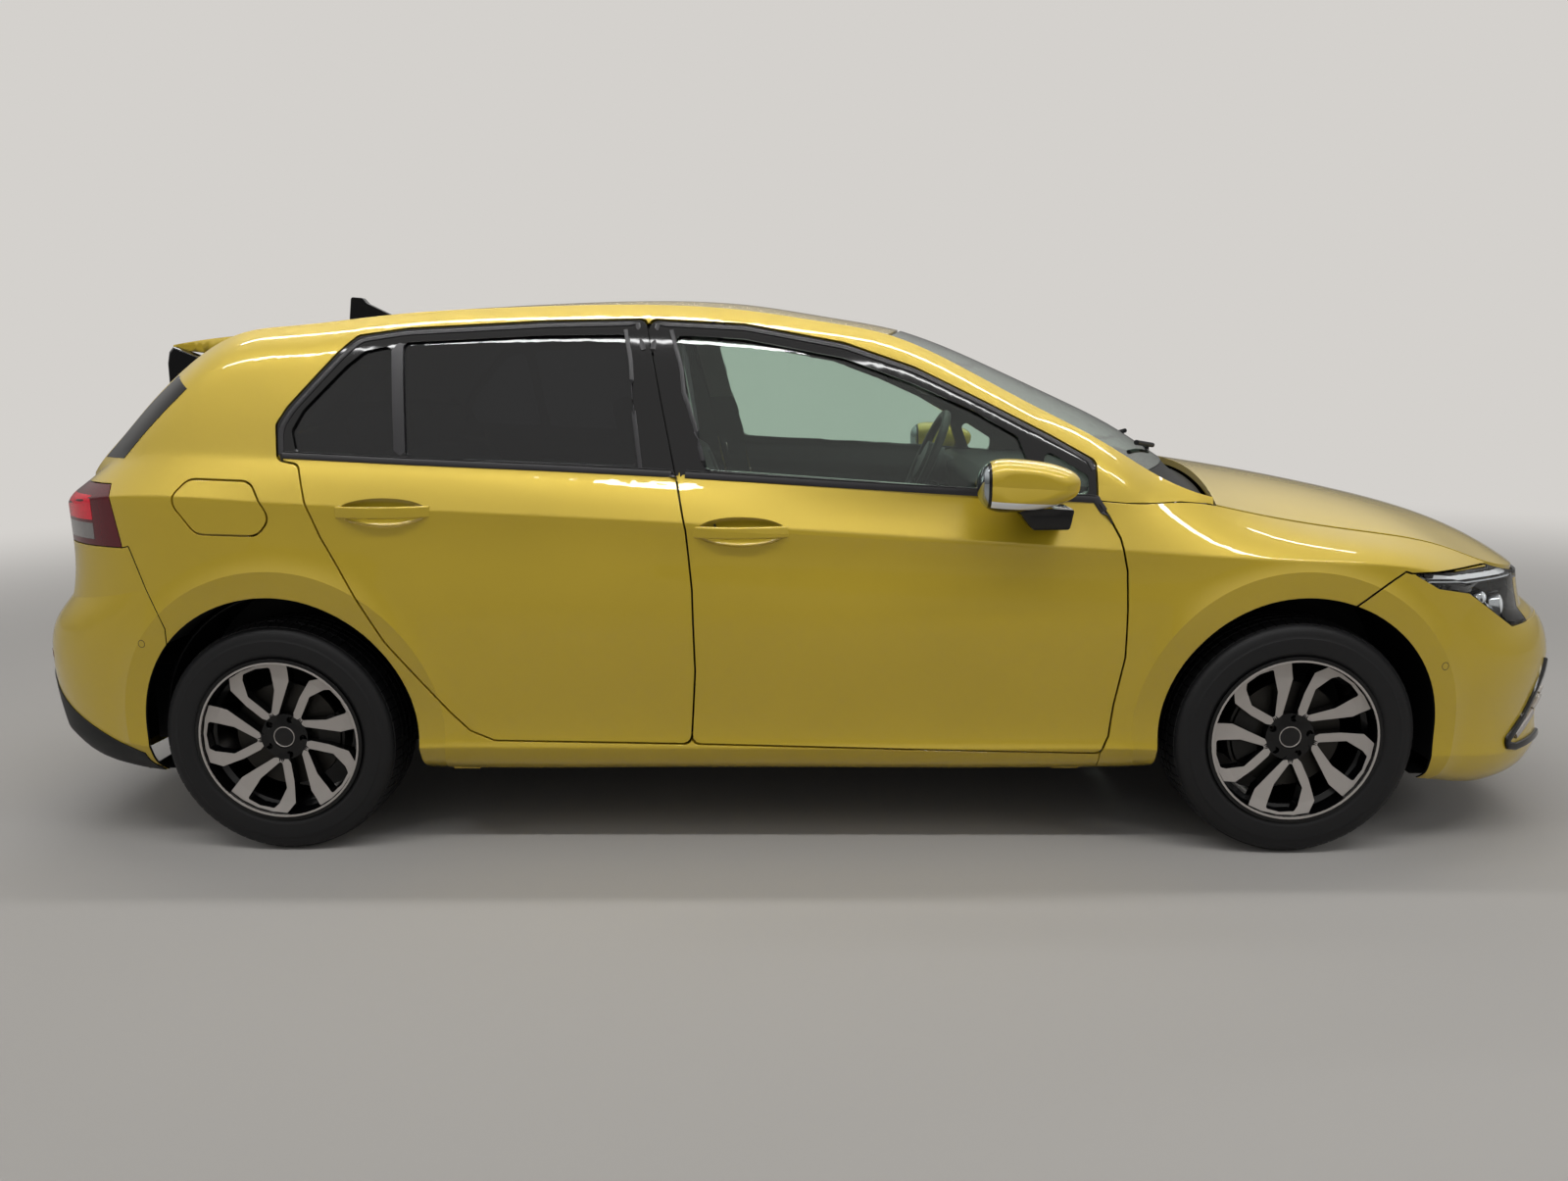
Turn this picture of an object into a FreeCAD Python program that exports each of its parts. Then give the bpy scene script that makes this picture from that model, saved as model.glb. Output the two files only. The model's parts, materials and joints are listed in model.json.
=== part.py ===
import FreeCAD, Part
import math
import os
from FreeCAD import Vector

os.makedirs("parts", exist_ok=True)

# Five-door hatchback car. Millimetres, +X forward, +Y to the car's left, +Z up.
# The origin is on the ground, midway along the length and on the centre plane.

# Driving dimensions of the whole car
WHEELBASE = 2636.0
FRONT_OVERHANG = 877.0
REAR_OVERHANG = 771.0
BODY_WIDTH = 1789.0
ROOF_HEIGHT = 1456.0
FRONT_TRACK = 1549.0
REAR_TRACK = 1520.0
PANEL_GAP = 5.0
RUNNING_CLEARANCE = 6.0
FIT_CLEARANCE = 0.3

LENGTH = FRONT_OVERHANG + WHEELBASE + REAR_OVERHANG
HALF_WIDTH = BODY_WIDTH / 2
NOSE_X = LENGTH / 2
TAIL_X = -LENGTH / 2
FRONT_AXLE_X = NOSE_X - FRONT_OVERHANG
REAR_AXLE_X = TAIL_X + REAR_OVERHANG
SEAM = PANEL_GAP / 2

# Wheels and tyres
TYRE_RADIUS = 310.0
TYRE_WIDTH = 205.0
TYRE_BEAD_RADIUS = 209.0
TYRE_WALL = 9.0
RIM_LIP_RADIUS = 221.0
RIM_BARREL_RADIUS = 196.0
RIM_BARREL_WALL = 7.0
RIM_WIDTH = 190.0
SPOKE_COUNT = 5
HUB_RADIUS = 62.0

# Arches and steering
FRONT_ARCH_RADIUS = 350.0
REAR_ARCH_RADIUS = 364.0
REAR_ARCH_SHIFT = 16.0
ARCH_RISE = 25.0
FLARE = 12.0
FLARE_BAND = 82.0
KINGPIN_Y = 700.0

# Panel thicknesses
SKIN = 8.0
FENDER_SKIN = 8.0
DOOR_FLANGE = 14.0
DOOR_DEPTH = 98.0
FRAME_DEPTH = 104.0
WINDOW_DEPTH = 36.0
BONNET_DEPTH = 20.0
ROOF_DEPTH = 26.0
GLASS = 5.0
GLASS_INSET = 9.0


# Places along the car: 0 is the rear axle and 1 the front axle, past them shares of the overhangs
def along(share):
    if share > 1:
        return FRONT_AXLE_X + (share - 1) * FRONT_OVERHANG
    if share < 0:
        return REAR_AXLE_X + share * REAR_OVERHANG
    return REAR_AXLE_X + share * WHEELBASE


def across(share):
    return share * HALF_WIDTH


def up(share):
    return share * ROOF_HEIGHT


# Natural cubic through knots, or level at both ends for a quantity that mirrors across the centre plane
def spline(knots, values, level_ends=False):
    count = len(knots)
    steps = [knots[i + 1] - knots[i] for i in range(count - 1)]
    slopes = [(values[i + 1] - values[i]) / steps[i] for i in range(count - 1)]
    low, mid, high, right = [0.0] * count, [1.0] * count, [0.0] * count, [0.0] * count
    for i in range(1, count - 1):
        low[i], mid[i], high[i] = steps[i - 1], 2 * (steps[i - 1] + steps[i]), steps[i]
        right[i] = 6 * (slopes[i] - slopes[i - 1])
    if level_ends:
        mid[0], high[0], right[0] = 2 * steps[0], steps[0], 6 * slopes[0]
        low[-1], mid[-1], right[-1] = steps[-1], 2 * steps[-1], -6 * slopes[-1]
    for i in range(1, count):
        factor = low[i] / mid[i - 1]
        mid[i] -= factor * high[i - 1]
        right[i] -= factor * right[i - 1]
    bend = [0.0] * count
    bend[-1] = right[-1] / mid[-1]
    for i in range(count - 2, -1, -1):
        bend[i] = (right[i] - high[i] * bend[i + 1]) / mid[i]

    def value(at):
        i = 0
        while i < count - 2 and at > knots[i + 1]:
            i += 1
        h = steps[i]
        a, b = (knots[i + 1] - at) / h, (at - knots[i]) / h
        cubic = ((a ** 3 - a) * bend[i] + (b ** 3 - b) * bend[i + 1]) * h * h / 6
        return a * values[i] + b * values[i + 1] + cubic

    return value


def smooth(ratio):
    ratio = min(1.0, max(0.0, ratio))
    return ratio * ratio * (3 - 2 * ratio)


# Plan outline at the widest line, from the middle of the nose round the left side to the tail
PLAN_SHARES = (
    (2.0, 0.0), (1.985, 0.3354), (1.938, 0.5813), (1.838, 0.7546), (1.669, 0.8888), (1.428, 0.9681),
    (1.0, 0.9939), (0.835, 0.9939), (0.414, 0.9961), (0.141, 0.9983), (0.0, 0.9961), (-0.453, 0.9681),
    (-0.822, 0.8407), (-0.946, 0.6931), (-0.982, 0.4695), (-0.996, 0.2236), (-1.0, 0.0))
plan_points = [(along(x), across(y)) for x, y in PLAN_SHARES]
plan_at = [0.0]
for here, there in zip(plan_points, plan_points[1:]):
    plan_at.append(plan_at[-1] + math.hypot(there[0] - here[0], there[1] - here[1]))
plan_x = spline(plan_at, [p[0] for p in plan_points], level_ends=True)
plan_y = spline(plan_at, [p[1] for p in plan_points])
PLAN_END = plan_at[-1]

# Guide lines round the lower body: at each key station a height and an inset from the plan outline.
# Rows run from the rocker's underside to the belt; row 2 is the sill crease and row 6 the shoulder.
KEY_STATIONS = (0, 2, 4, 5, 6, 7, 8, 9, 10, 11, 12, 14, 16)
HEIGHT_SHARES = (
    (0.1133, 0.1065, 0.103, 0.1271, 0.1477, 0.1477, 0.1477, 0.1497, 0.1525, 0.1408, 0.1305, 0.1236, 0.1236),
    (0.1319, 0.1277, 0.1271, 0.1442, 0.1635, 0.1648, 0.1648, 0.1683, 0.1703, 0.1635, 0.1545, 0.1525, 0.1525),
    (0.1751, 0.1717, 0.1703, 0.182, 0.1964, 0.1978, 0.2005, 0.204, 0.206, 0.2026, 0.206, 0.206, 0.206),
    (0.2404, 0.237, 0.237, 0.2404, 0.2527, 0.2555, 0.2582, 0.2624, 0.2644, 0.2644, 0.2816, 0.2816, 0.2816),
    (0.3228, 0.3173, 0.3214, 0.3434, 0.3846, 0.4052, 0.4121, 0.4203, 0.4224, 0.419, 0.4087, 0.4066, 0.4066),
    (0.3929, 0.3846, 0.3929, 0.4293, 0.4739, 0.4945, 0.5323, 0.5495, 0.5495, 0.5014, 0.4739, 0.4657, 0.4615),
    (0.4327, 0.4203, 0.4396, 0.5, 0.5323, 0.5515, 0.6051, 0.6326, 0.6477, 0.6573, 0.6353, 0.6353, 0.6353),
    (0.4636, 0.4533, 0.4808, 0.5254, 0.5632, 0.5962, 0.6456, 0.6765, 0.6902, 0.6902, 0.6559, 0.6525, 0.6525),
    (0.4911, 0.4842, 0.5048, 0.546, 0.5886, 0.6284, 0.6779, 0.7074, 0.7225, 0.7212, 0.6765, 0.6662, 0.6648))
INSET_SHARES = (
    (0.1062, 0.0984, 0.0838, 0.0671, 0.1006, 0.1006, 0.1017, 0.1006, 0.1006, 0.0894, 0.1677, 0.2236, 0.2348),
    (0.047, 0.038, 0.0335, 0.0313, 0.0503, 0.0514, 0.0514, 0.0514, 0.0514, 0.047, 0.0783, 0.1062, 0.1096),
    (0.0134, 0.0089, 0.0089, 0.0112, 0.0201, 0.0201, 0.0201, 0.0201, 0.0201, 0.0179, 0.0201, 0.0201, 0.0201),
    (0.0134, 0.0157, 0.0157, 0.0134, 0.0224, 0.0268, 0.0279, 0.0279, 0.0246, 0.0157, 0.0045, 0, 0),
    (0, 0.0022, 0.0022, 0.0022, 0.0022, 0, 0, 0, 0, 0, 0.0067, 0.0089, 0.0089),
    (0.0168, 0.0224, 0.0313, 0.0134, 0.0078, 0.0106, 0.0117, 0.0101, 0.0078, 0.0106, 0.0693, 0.0961, 0.0738),
    (0.0447, 0.0894, 0.0581, 0.0224, 0.0145, 0.0095, 0.0095, 0.0089, 0.0084, 0.0112, 0.0783, 0.1017, 0.0738),
    (0.0671, 0.1051, 0.0805, 0.0671, 0.0693, 0.0402, 0.038, 0.0402, 0.0425, 0.0492, 0.1029, 0.1207, 0.0939),
    (0.1029, 0.1207, 0.1006, 0.1431, 0.1677, 0.0626, 0.0671, 0.0693, 0.0738, 0.085, 0.1565, 0.1476, 0.1174))
BELT_ROW = 8
key_at = [plan_at[i] for i in KEY_STATIONS]
guide_height = [spline(key_at, [up(v) for v in row], level_ends=True) for row in HEIGHT_SHARES]
guide_inset = [spline(key_at, [across(v) for v in row], level_ends=True) for row in INSET_SHARES]

# Bonnet: height on the centre line and the fall from there to the wing at each station
BONNET_SHARES = (0.918, 1.013, 1.243, 1.445, 1.593, 1.827, 1.897, 2.0)
BONNET_CENTRE_SHARES = (0.6765, 0.6518, 0.6264, 0.6003, 0.5783, 0.5234, 0.4959, 0.445)
BONNET_FALL_SHARES = (0.0481, 0.0646, 0.0611, 0.057, 0.0707, 0.0968, 0.1168, 0.14)
BONNET_EDGE_Y = across(0.827)
BONNET_POWER = 2.2
bonnet_knots = [along(s) for s in BONNET_SHARES]
bonnet_centre = spline(bonnet_knots, [up(v) for v in BONNET_CENTRE_SHARES])
bonnet_fall = spline(bonnet_knots, [up(v) for v in BONNET_FALL_SHARES])
BONNET_BLEND_FRONT = along(0.93)
BONNET_BLEND_REAR = along(0.835)


def bonnet_height(x, y):
    return bonnet_centre(x) - bonnet_fall(x) * abs(y / BONNET_EDGE_Y) ** BONNET_POWER


# Wheel arches swell outward round the wheels
ARCHES = ((FRONT_AXLE_X, TYRE_RADIUS + ARCH_RISE, FRONT_ARCH_RADIUS),
          (REAR_AXLE_X + REAR_ARCH_SHIFT, TYRE_RADIUS + ARCH_RISE, REAR_ARCH_RADIUS))


def flare_at(x, z):
    out = 0.0
    for centre_x, centre_z, radius in ARCHES:
        reach = math.hypot(x - centre_x, z - centre_z) - radius
        out += FLARE * (1 - smooth(reach / FLARE_BAND))
    return out


# Rail line in side view: windscreen pillar, roof side and the rear pillar's back edge
RAIL_SHARES = (
    (0.935, 0.628), (0.903, 0.6422), (0.86, 0.6806), (0.825, 0.7218), (0.757, 0.7871), (0.698, 0.8448),
    (0.607, 0.9231), (0.555, 0.9423), (0.466, 0.9684), (0.348, 0.9808), (0.209, 0.9766), (0.109, 0.9663),
    (0.008, 0.9478), (-0.174, 0.9286), (-0.296, 0.8826), (-0.445, 0.8104), (-0.649, 0.7088), (-0.732, 0.68),
    (-0.8, 0.676))
rail_knots = [along(x) for x, z in RAIL_SHARES][::-1]
rail_height = spline(rail_knots, [up(z) for x, z in RAIL_SHARES][::-1])
TUMBLE = 0.30
TUMBLE_BOW_SHARE = 0.383
TUMBLE_BOW = TUMBLE_BOW_SHARE / ROOF_HEIGHT
RAIL_TURN = 52.0
RAIL_BAND = 85.0


# Point of the lower body: place round the outline and place across the guide rows
def lower_point(at, row):
    side = 1.0
    if at < 0:
        at, side = -at, -1.0
    if at > PLAN_END:
        at, side = 2 * PLAN_END - at, -side
    step = 1.0
    x, y = plan_x(at), plan_y(at)
    dx, dy = plan_x(at + step) - plan_x(at - step), plan_y(at + step) - plan_y(at - step)
    size = math.hypot(dx, dy)
    out_x, out_y = dy / size, -dx / size
    heights = [g(at) for g in guide_height]
    insets = [g(at) for g in guide_inset]
    belt_x, belt_y = x - out_x * insets[-1], y - out_y * insets[-1]
    share = smooth((belt_x - BONNET_BLEND_REAR) / (BONNET_BLEND_FRONT - BONNET_BLEND_REAR))
    heights[-1] += share * (bonnet_height(belt_x, belt_y) - heights[-1])
    low, high = (0, 2) if row <= 2 else (2, 6) if row <= 6 else (6, 8)
    knots = list(range(low, high + 1))
    z = spline(knots, heights[low:high + 1])(row)
    inset = spline(knots, insets[low:high + 1])(row)
    px, py = x - out_x * inset, y - out_y * inset
    swell = flare_at(px, z) if abs(py) > HALF_WIDTH / 2 and row > 0.5 else 0.0
    px, py = px + out_x * swell, py + out_y * swell
    return Vector(px, side * py, z), Vector(out_x, side * out_y, 0)


def upper_point(at, share):
    base, out = lower_point(at, BELT_ROW)
    top = max(rail_height(base.x), base.z + PANEL_GAP)
    rise = share * (top - base.z)
    slope = (rail_height(base.x + PANEL_GAP) - rail_height(base.x - PANEL_GAP)) / (2 * PANEL_GAP)
    near = (top - base.z - rise) / math.hypot(1, slope)
    turn = RAIL_TURN * max(0.0, 1 - near / RAIL_BAND) ** 2 * smooth((top - base.z) / RAIL_BAND)
    lean = TUMBLE * rise + TUMBLE_BOW * rise * rise + turn
    side = 1 if base.y > 0 else -1
    return Vector(base.x, base.y - side * lean, base.z + rise), out


# A cubic surface that follows a grid of poles, or straight across where only two rows are given
def surface(grid):
    rows, columns = len(grid), len(grid[0])
    degree_u, degree_v = min(3, rows - 1), min(3, columns - 1)
    mults_u = [degree_u + 1] + [1] * (rows - degree_u - 1) + [degree_u + 1]
    mults_v = [degree_v + 1] + [1] * (columns - degree_v - 1) + [degree_v + 1]
    patch = Part.BSplineSurface()
    patch.buildFromPolesMultsKnots(
        grid, mults_u, mults_v, [float(i) for i in range(len(mults_u))],
        [float(i) for i in range(len(mults_v))], False, False, degree_u, degree_v)
    return patch.toShape()


# A closed wall between an outer and an inner grid of the same size
def wall(outer, inner):
    last = len(outer) - 1
    end = len(outer[0]) - 1
    faces = [surface(outer), surface(inner)]
    faces.append(surface([outer[0], inner[0]]))
    faces.append(surface([outer[last], inner[last]]))
    faces.append(surface([[row[0] for row in outer], [row[0] for row in inner]]))
    faces.append(surface([[row[end] for row in outer], [row[end] for row in inner]]))
    shell = Part.makeShell(faces)
    shell.sewShape()
    solid = Part.makeSolid(shell)
    if solid.Volume < 0:
        solid.reverse()
    return solid


def spread(start, end, count):
    return [start + (end - start) * i / (count - 1) for i in range(count)]


# Rows across the guide lines, close together at the two creases
LOWER_ROWS = [0, 0.5, 1, 1.4, 1.75, 1.92, 2, 2.08, 2.3, 2.7, 3.2, 3.7, 4.2, 4.7, 5.2, 5.6, 5.85, 5.95, 6,
              6.06, 6.18, 6.45, 6.8, 7.3, 7.7, 8]
UPPER_ROWS = [0.12, 0.25, 0.38, 0.5, 0.62, 0.72, 0.8, 0.86, 0.91, 0.955, 1]
SIDE_START_SHARE = 0.35
SIDE_START = plan_at[6] + (plan_at[7] - plan_at[6]) * SIDE_START_SHARE
SIDE_END = plan_at[12]
SIDE_COLUMNS = 46


# Wall of the body side from the rocker to the rail, set in by depths that differ below and above the belt
def side_wall(start, end, count, outer_depth, lower_depth, upper_depth):
    outer, inner = [], []
    for at in spread(start, end, count):
        skin = [lower_point(at, row)[0] for row in LOWER_ROWS]
        skin += [upper_point(at, share)[0] for share in UPPER_ROWS]
        side = 1 if at > 0 else -1
        thick = []
        for i, point in enumerate(skin):
            waist = i - LOWER_ROWS.index(7.3)
            share = smooth(0.5 + waist / 3)
            thick.append(lower_depth + share * (upper_depth - lower_depth))
        outer.append([p - Vector(0, side * outer_depth, 0) for p in skin])
        inner.append([p - Vector(0, side * t, 0) for p, t in zip(skin, thick)])
    return wall(outer, inner)


# Wall of the lower body between two places round the outline and two guide rows
def wrap_wall(start, end, count, rows, outer_depth, inner_depth):
    outer, inner = [], []
    for at in spread(start, end, count):
        pairs = [lower_point(at, row) for row in rows]
        outer.append([p - out * outer_depth for p, out in pairs])
        inner.append([p - out * inner_depth for p, out in pairs])
    return wall(outer, inner)


# Closed outline with every corner rounded, from points in a plane
CORNER_REACH_SHARE = 0.45
SHORTEST = 1e-3


def rounded(points, radius, place):
    corners = []
    count = len(points)
    for i, (x, y) in enumerate(points):
        px, py = points[i - 1]
        nx, ny = points[(i + 1) % count]
        ax, ay, bx, by = px - x, py - y, nx - x, ny - y
        la, lb = math.hypot(ax, ay), math.hypot(bx, by)
        cosine = max(-1.0, min(1.0, (ax * bx + ay * by) / la / lb))
        half = math.acos(cosine) / 2
        reach = min(radius / math.tan(half), la * CORNER_REACH_SHARE, lb * CORNER_REACH_SHARE)
        start = (x + ax / la * reach, y + ay / la * reach)
        end = (x + bx / lb * reach, y + by / lb * reach)
        true_radius = reach * math.tan(half)
        mx, my = ax / la + bx / lb, ay / la + by / lb
        size = math.hypot(mx, my)
        if size < SHORTEST or reach < SHORTEST:
            corners.append((place(start), None, place(start)))
            continue
        centre = true_radius / math.sin(half)
        middle = (x + mx / size * (centre - true_radius), y + my / size * (centre - true_radius))
        corners.append((place(start), place(middle), place(end)))
    edges = []
    for i, (start, middle, end) in enumerate(corners):
        if middle is not None:
            edges.append(Part.Arc(start, middle, end).toShape())
        following = corners[(i + 1) % count][0]
        if end.distanceToPoint(following) > SHORTEST:
            edges.append(Part.LineSegment(end, following).toShape())
    return Part.Face(Part.Wire(edges))


# Outline moved outward by a margin, or inward where it is negative
def grow(points, margin):
    area = sum(a[0] * b[1] - b[0] * a[1] for a, b in zip(points, points[1:] + points[:1]))
    turn = 1 if area > 0 else -1
    lines = []
    for a, b in zip(points, points[1:] + points[:1]):
        dx, dy = b[0] - a[0], b[1] - a[1]
        size = math.hypot(dx, dy)
        shift = (dy / size * margin * turn, -dx / size * margin * turn)
        lines.append(((a[0] + shift[0], a[1] + shift[1]), (dx / size, dy / size)))
    moved = []
    for i, ((ax, ay), (adx, ady)) in enumerate(lines):
        (bx, by), (bdx, bdy) = lines[i - 1]
        cross = bdx * ady - bdy * adx
        if abs(cross) < 1e-9:
            moved.append((ax, ay))
            continue
        along_b = ((ax - bx) * ady - (ay - by) * adx) / cross
        moved.append((bx + bdx * along_b, by + bdy * along_b))
    return moved


# Block with a side-view outline, between two places across the car
def side_block(points, radius, start, end):
    face = rounded(points, radius, lambda p: Vector(p[0], start, p[1]))
    return face.extrude(Vector(0, end - start, 0))


# Block with a plan outline, between two heights
def plan_block(points, radius, start, end):
    face = rounded(points, radius, lambda p: Vector(p[0], p[1], start))
    return face.extrude(Vector(0, 0, end - start))


# Block with a front-view outline, between two places along the car
def front_block(points, radius, start, end):
    face = rounded(points, radius, lambda p: Vector(start, p[0], p[1]))
    return face.extrude(Vector(end - start, 0, 0))


def box(x0, x1, y0, y1, z0, z1):
    return Part.makeBox(x1 - x0, y1 - y0, z1 - z0, Vector(x0, y0, z0))


def tube(start, end, radius):
    run = end - start
    return Part.makeCylinder(radius, run.Length, start, run)


def mirrored(shape):
    return shape.mirror(Vector(0, 0, 0), Vector(0, 1, 0))


def join(shapes):
    result = shapes[0]
    for shape in shapes[1:]:
        result = result.fuse(shape)
    return result.removeSplitter()


def save(name, shape):
    solids = shape.Solids
    kept = solids[0] if len(solids) == 1 else Part.makeCompound(solids)
    kept.exportStep("parts/" + name + ".step")


# Side-view outlines, each point a share along the car and a share of the height
def side_points(shares):
    return [(along(x), up(z)) for x, z in shares]


DOOR_FRONT_SHARES = ((0.813, 0.1882), (0.821, 0.2198), (0.824, 0.2768), (0.832, 0.3654), (0.832, 0.4547),
                     (0.831, 0.5165), (0.824, 0.5721), (0.814, 0.6078), (0.803, 0.636))
GLASSHOUSE_SHARES = ((0.803, 0.7019), (0.759, 0.7466), (0.7, 0.8015), (0.632, 0.8633), (0.564, 0.9073),
                     (0.467, 0.9416), (0.371, 0.9526))
REAR_GLASSHOUSE_SHARES = ((0.274, 0.9512), (0.136, 0.9402), (0.088, 0.9286), (0.071, 0.899), (0.026, 0.8063),
                          (0.016, 0.7768), (0.019, 0.7157))
DOOR_SPLIT_SHARES = ((0.403, 0.6827), (0.413, 0.5927), (0.418, 0.4897), (0.419, 0.3434), (0.413, 0.2074))
DOOR_REAR_SHARES = ((0.04, 0.708), (0.05, 0.6463), (0.063, 0.5845), (0.094, 0.478), (0.119, 0.4004),
                    (0.176, 0.2672), (0.194, 0.2321), (0.218, 0.2143))
FRONT_WINDOW_SHARES = ((0.431, 0.6923), (0.748, 0.6511), (0.728, 0.7452), (0.687, 0.7885), (0.63, 0.8358),
                       (0.564, 0.8805), (0.467, 0.9155), (0.399, 0.9238))
CORNER_WINDOW_SHARES = ((0.764, 0.6497), (0.795, 0.6456), (0.795, 0.6765), (0.746, 0.7328))
REAR_WINDOW_SHARES = ((0.366, 0.6992), (0.355, 0.9258), (0.274, 0.9258), (0.134, 0.9155), (0.143, 0.7184))
QUARTER_WINDOW_SHARES = ((0.132, 0.7198), (0.123, 0.9107), (0.097, 0.9011), (0.08, 0.8757), (0.041, 0.8001),
                         (0.031, 0.7658), (0.036, 0.7294))
front_door_outline = side_points(DOOR_FRONT_SHARES + GLASSHOUSE_SHARES + DOOR_SPLIT_SHARES)
rear_door_outline = side_points(
    DOOR_SPLIT_SHARES[::-1] + GLASSHOUSE_SHARES[-1:] + REAR_GLASSHOUSE_SHARES + DOOR_REAR_SHARES)
split_line = side_points(GLASSHOUSE_SHARES[-1:] + DOOR_SPLIT_SHARES)
PILLAR_WIDTH = 72.0
SHUT_LAP = 14.0
SHUT_DEPTH = DOOR_FLANGE + RUNNING_CLEARANCE
DOOR_INSET = SHUT_LAP + RUNNING_CLEARANCE + 2 * SEAM
SIDE_REACH = HALF_WIDTH * 2
CORNER = 22.0
WINDOW_CORNER = 16.0
pillar_outline = [(x - PANEL_GAP, z) for x, z in split_line]
pillar_outline += [(x + PILLAR_WIDTH, z) for x, z in split_line[::-1]]


def through(points, radius=CORNER):
    return side_block(points, radius, 0, SIDE_REACH)


SEAL_WIDTH = 9.0
SEAL_SHARES = (0.36, 0.56)
JACK_SHARES = (0.786, 0.179)
ROCKER_SHARE = 0.1477
JACK_LENGTH = 70.0
JACK_WIDTH = 50.0
JACK_HEIGHT = 30.0


# Rubber seal in the rebate behind a shut line, on the side that moves straight away from it
def build_seal(outline, depth, rebate_depth, limit_x, low, high):
    inner_depth = rebate_depth + SKIN
    band = side_wall(SIDE_START, SIDE_END, SIDE_COLUMNS, depth + FIT_CLEARANCE, inner_depth, inner_depth)
    ring = through(grow(outline, -RUNNING_CLEARANCE / 2)).cut(
        through(grow(outline, -RUNNING_CLEARANCE / 2 - SEAL_WIDTH)))
    return band.common(ring).common(box(TAIL_X, limit_x, 0, SIDE_REACH, low, high))


# Body side: rocker, pillars, rail and rear quarter in one wall, with the door openings rebated
def build_side():
    frame = side_wall(SIDE_START, SIDE_END, SIDE_COLUMNS, 0, FRAME_DEPTH, WINDOW_DEPTH)
    rebate = side_wall(SIDE_START, SIDE_END, SIDE_COLUMNS, -FLARE, SHUT_DEPTH, SHUT_DEPTH)
    front_opening = through(grow(front_door_outline, -SHUT_LAP)).cut(through(pillar_outline, SEAM))
    hinge_edge = through(grow(front_door_outline, SEAM))
    hinge_edge = hinge_edge.common(box(along(0.77), NOSE_X, 0, SIDE_REACH, 0, up(0.632)))
    rear_opening = through(grow(rear_door_outline, -SHUT_LAP))
    rear_hinge_edge = through(grow(rear_door_outline, SEAM))
    rear_hinge_edge = rear_hinge_edge.common(box(along(0.36), along(0.42), 0, SIDE_REACH, 0, up(0.672)))
    for outline in (front_door_outline, rear_door_outline):
        frame = frame.cut(rebate.common(through(grow(outline, SEAM))))
    frame = frame.cut(front_opening).cut(hinge_edge).cut(rear_opening).cut(rear_hinge_edge)
    extras = []
    seal_low, seal_high = [up(share) for share in SEAL_SHARES]
    for outline, limit_x in ((front_door_outline, along(0.5)), (rear_door_outline, along(0.3))):
        extras.append(build_seal(outline, DOOR_FLANGE, SHUT_DEPTH, limit_x, seal_low, seal_high))
    for share in JACK_SHARES:
        x, y = along(share), HALF_WIDTH - FRAME_DEPTH * 1.5
        extras.append(box(x - JACK_LENGTH / 2, x + JACK_LENGTH / 2, y, y + JACK_WIDTH,
                          up(ROCKER_SHARE) - JACK_HEIGHT / 4, up(ROCKER_SHARE) + JACK_HEIGHT))
    return frame.fuse(extras)


def belt_edge(count, start, end, lift):
    line = []
    for at in spread(start, end, count):
        point = lower_point(at, BELT_ROW)[0]
        line.append((point.x, point.z + lift))
    return line


BUMPER_LINE_SHARES = ((-0.33, 0.35), (-0.33, 0.4238), (-0.392, 0.4938), (-0.445, 0.5694))


def arch_block(index, margin, start, end):
    x, z, radius = ARCHES[index]
    return tube(Vector(x, start, z), Vector(x, end, z), radius + margin)


def arch_cut(index, margin=0.0):
    x, z, radius = ARCHES[index]
    legs = box(x - radius - margin, x + radius + margin, 0, SIDE_REACH, -z, z)
    return arch_block(index, margin, 0, SIDE_REACH).fuse(legs)


# Doors: a thin flange to the shut line, a thick body inside it, window holes and a bowed handle over a cup
CUP_LENGTH = 226.0
CUP_HEIGHT = 78.0
CUP_DEPTH = 20.0
HANDLE_LENGTH = 238.0
HANDLE_HEIGHT = 30.0
HANDLE_STAND = 25.0
HANDLE_THICK = 10.0
HANDLE_EDGE_SHARE = 0.42
HANDLE_SHARES = ((0.466, 0.589), (0.125, 0.628))


def door_skin(outline):
    flange = side_wall(SIDE_START, SIDE_END, SIDE_COLUMNS, 0, DOOR_FLANGE, DOOR_FLANGE)
    return flange.common(through(grow(outline, -SEAM)))


def build_door(outline, windows, pillar=None):
    core = side_wall(SIDE_START, SIDE_END, SIDE_COLUMNS, DOOR_FLANGE / 2, DOOR_DEPTH,
                     WINDOW_DEPTH - FIT_CLEARANCE)
    zone = through(grow(outline, -DOOR_INSET))
    if pillar:
        zone = zone.cut(through(grow(pillar, RUNNING_CLEARANCE)))
    door = door_skin(outline).fuse(core.common(zone))
    for window in windows:
        door = door.cut(through(side_points(window), WINDOW_CORNER))
    return door


def build_glass(windows):
    back_depth = GLASS_INSET + GLASS
    pane = side_wall(SIDE_START, SIDE_END, SIDE_COLUMNS, GLASS_INSET, back_depth, back_depth)
    panes = [pane.common(through(grow(side_points(w), -FIT_CLEARANCE), WINDOW_CORNER)) for w in windows]
    return Part.makeCompound([s for p in panes for s in p.Solids])


# Distance from the centre plane to the body side at a point of the side view
def side_y(x, z):
    stations = [(abs(lower_point(at, 4)[0].x - x), at) for at in spread(SIDE_START, SIDE_END, 60)]
    at = min(stations)[1]
    rows = [lower_point(at, row)[0] for row in LOWER_ROWS]
    for a, b in zip(rows, rows[1:]):
        if a.z <= z <= b.z:
            return a.y + (b.y - a.y) * (z - a.z) / (b.z - a.z)
    return rows[-1].y


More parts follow.
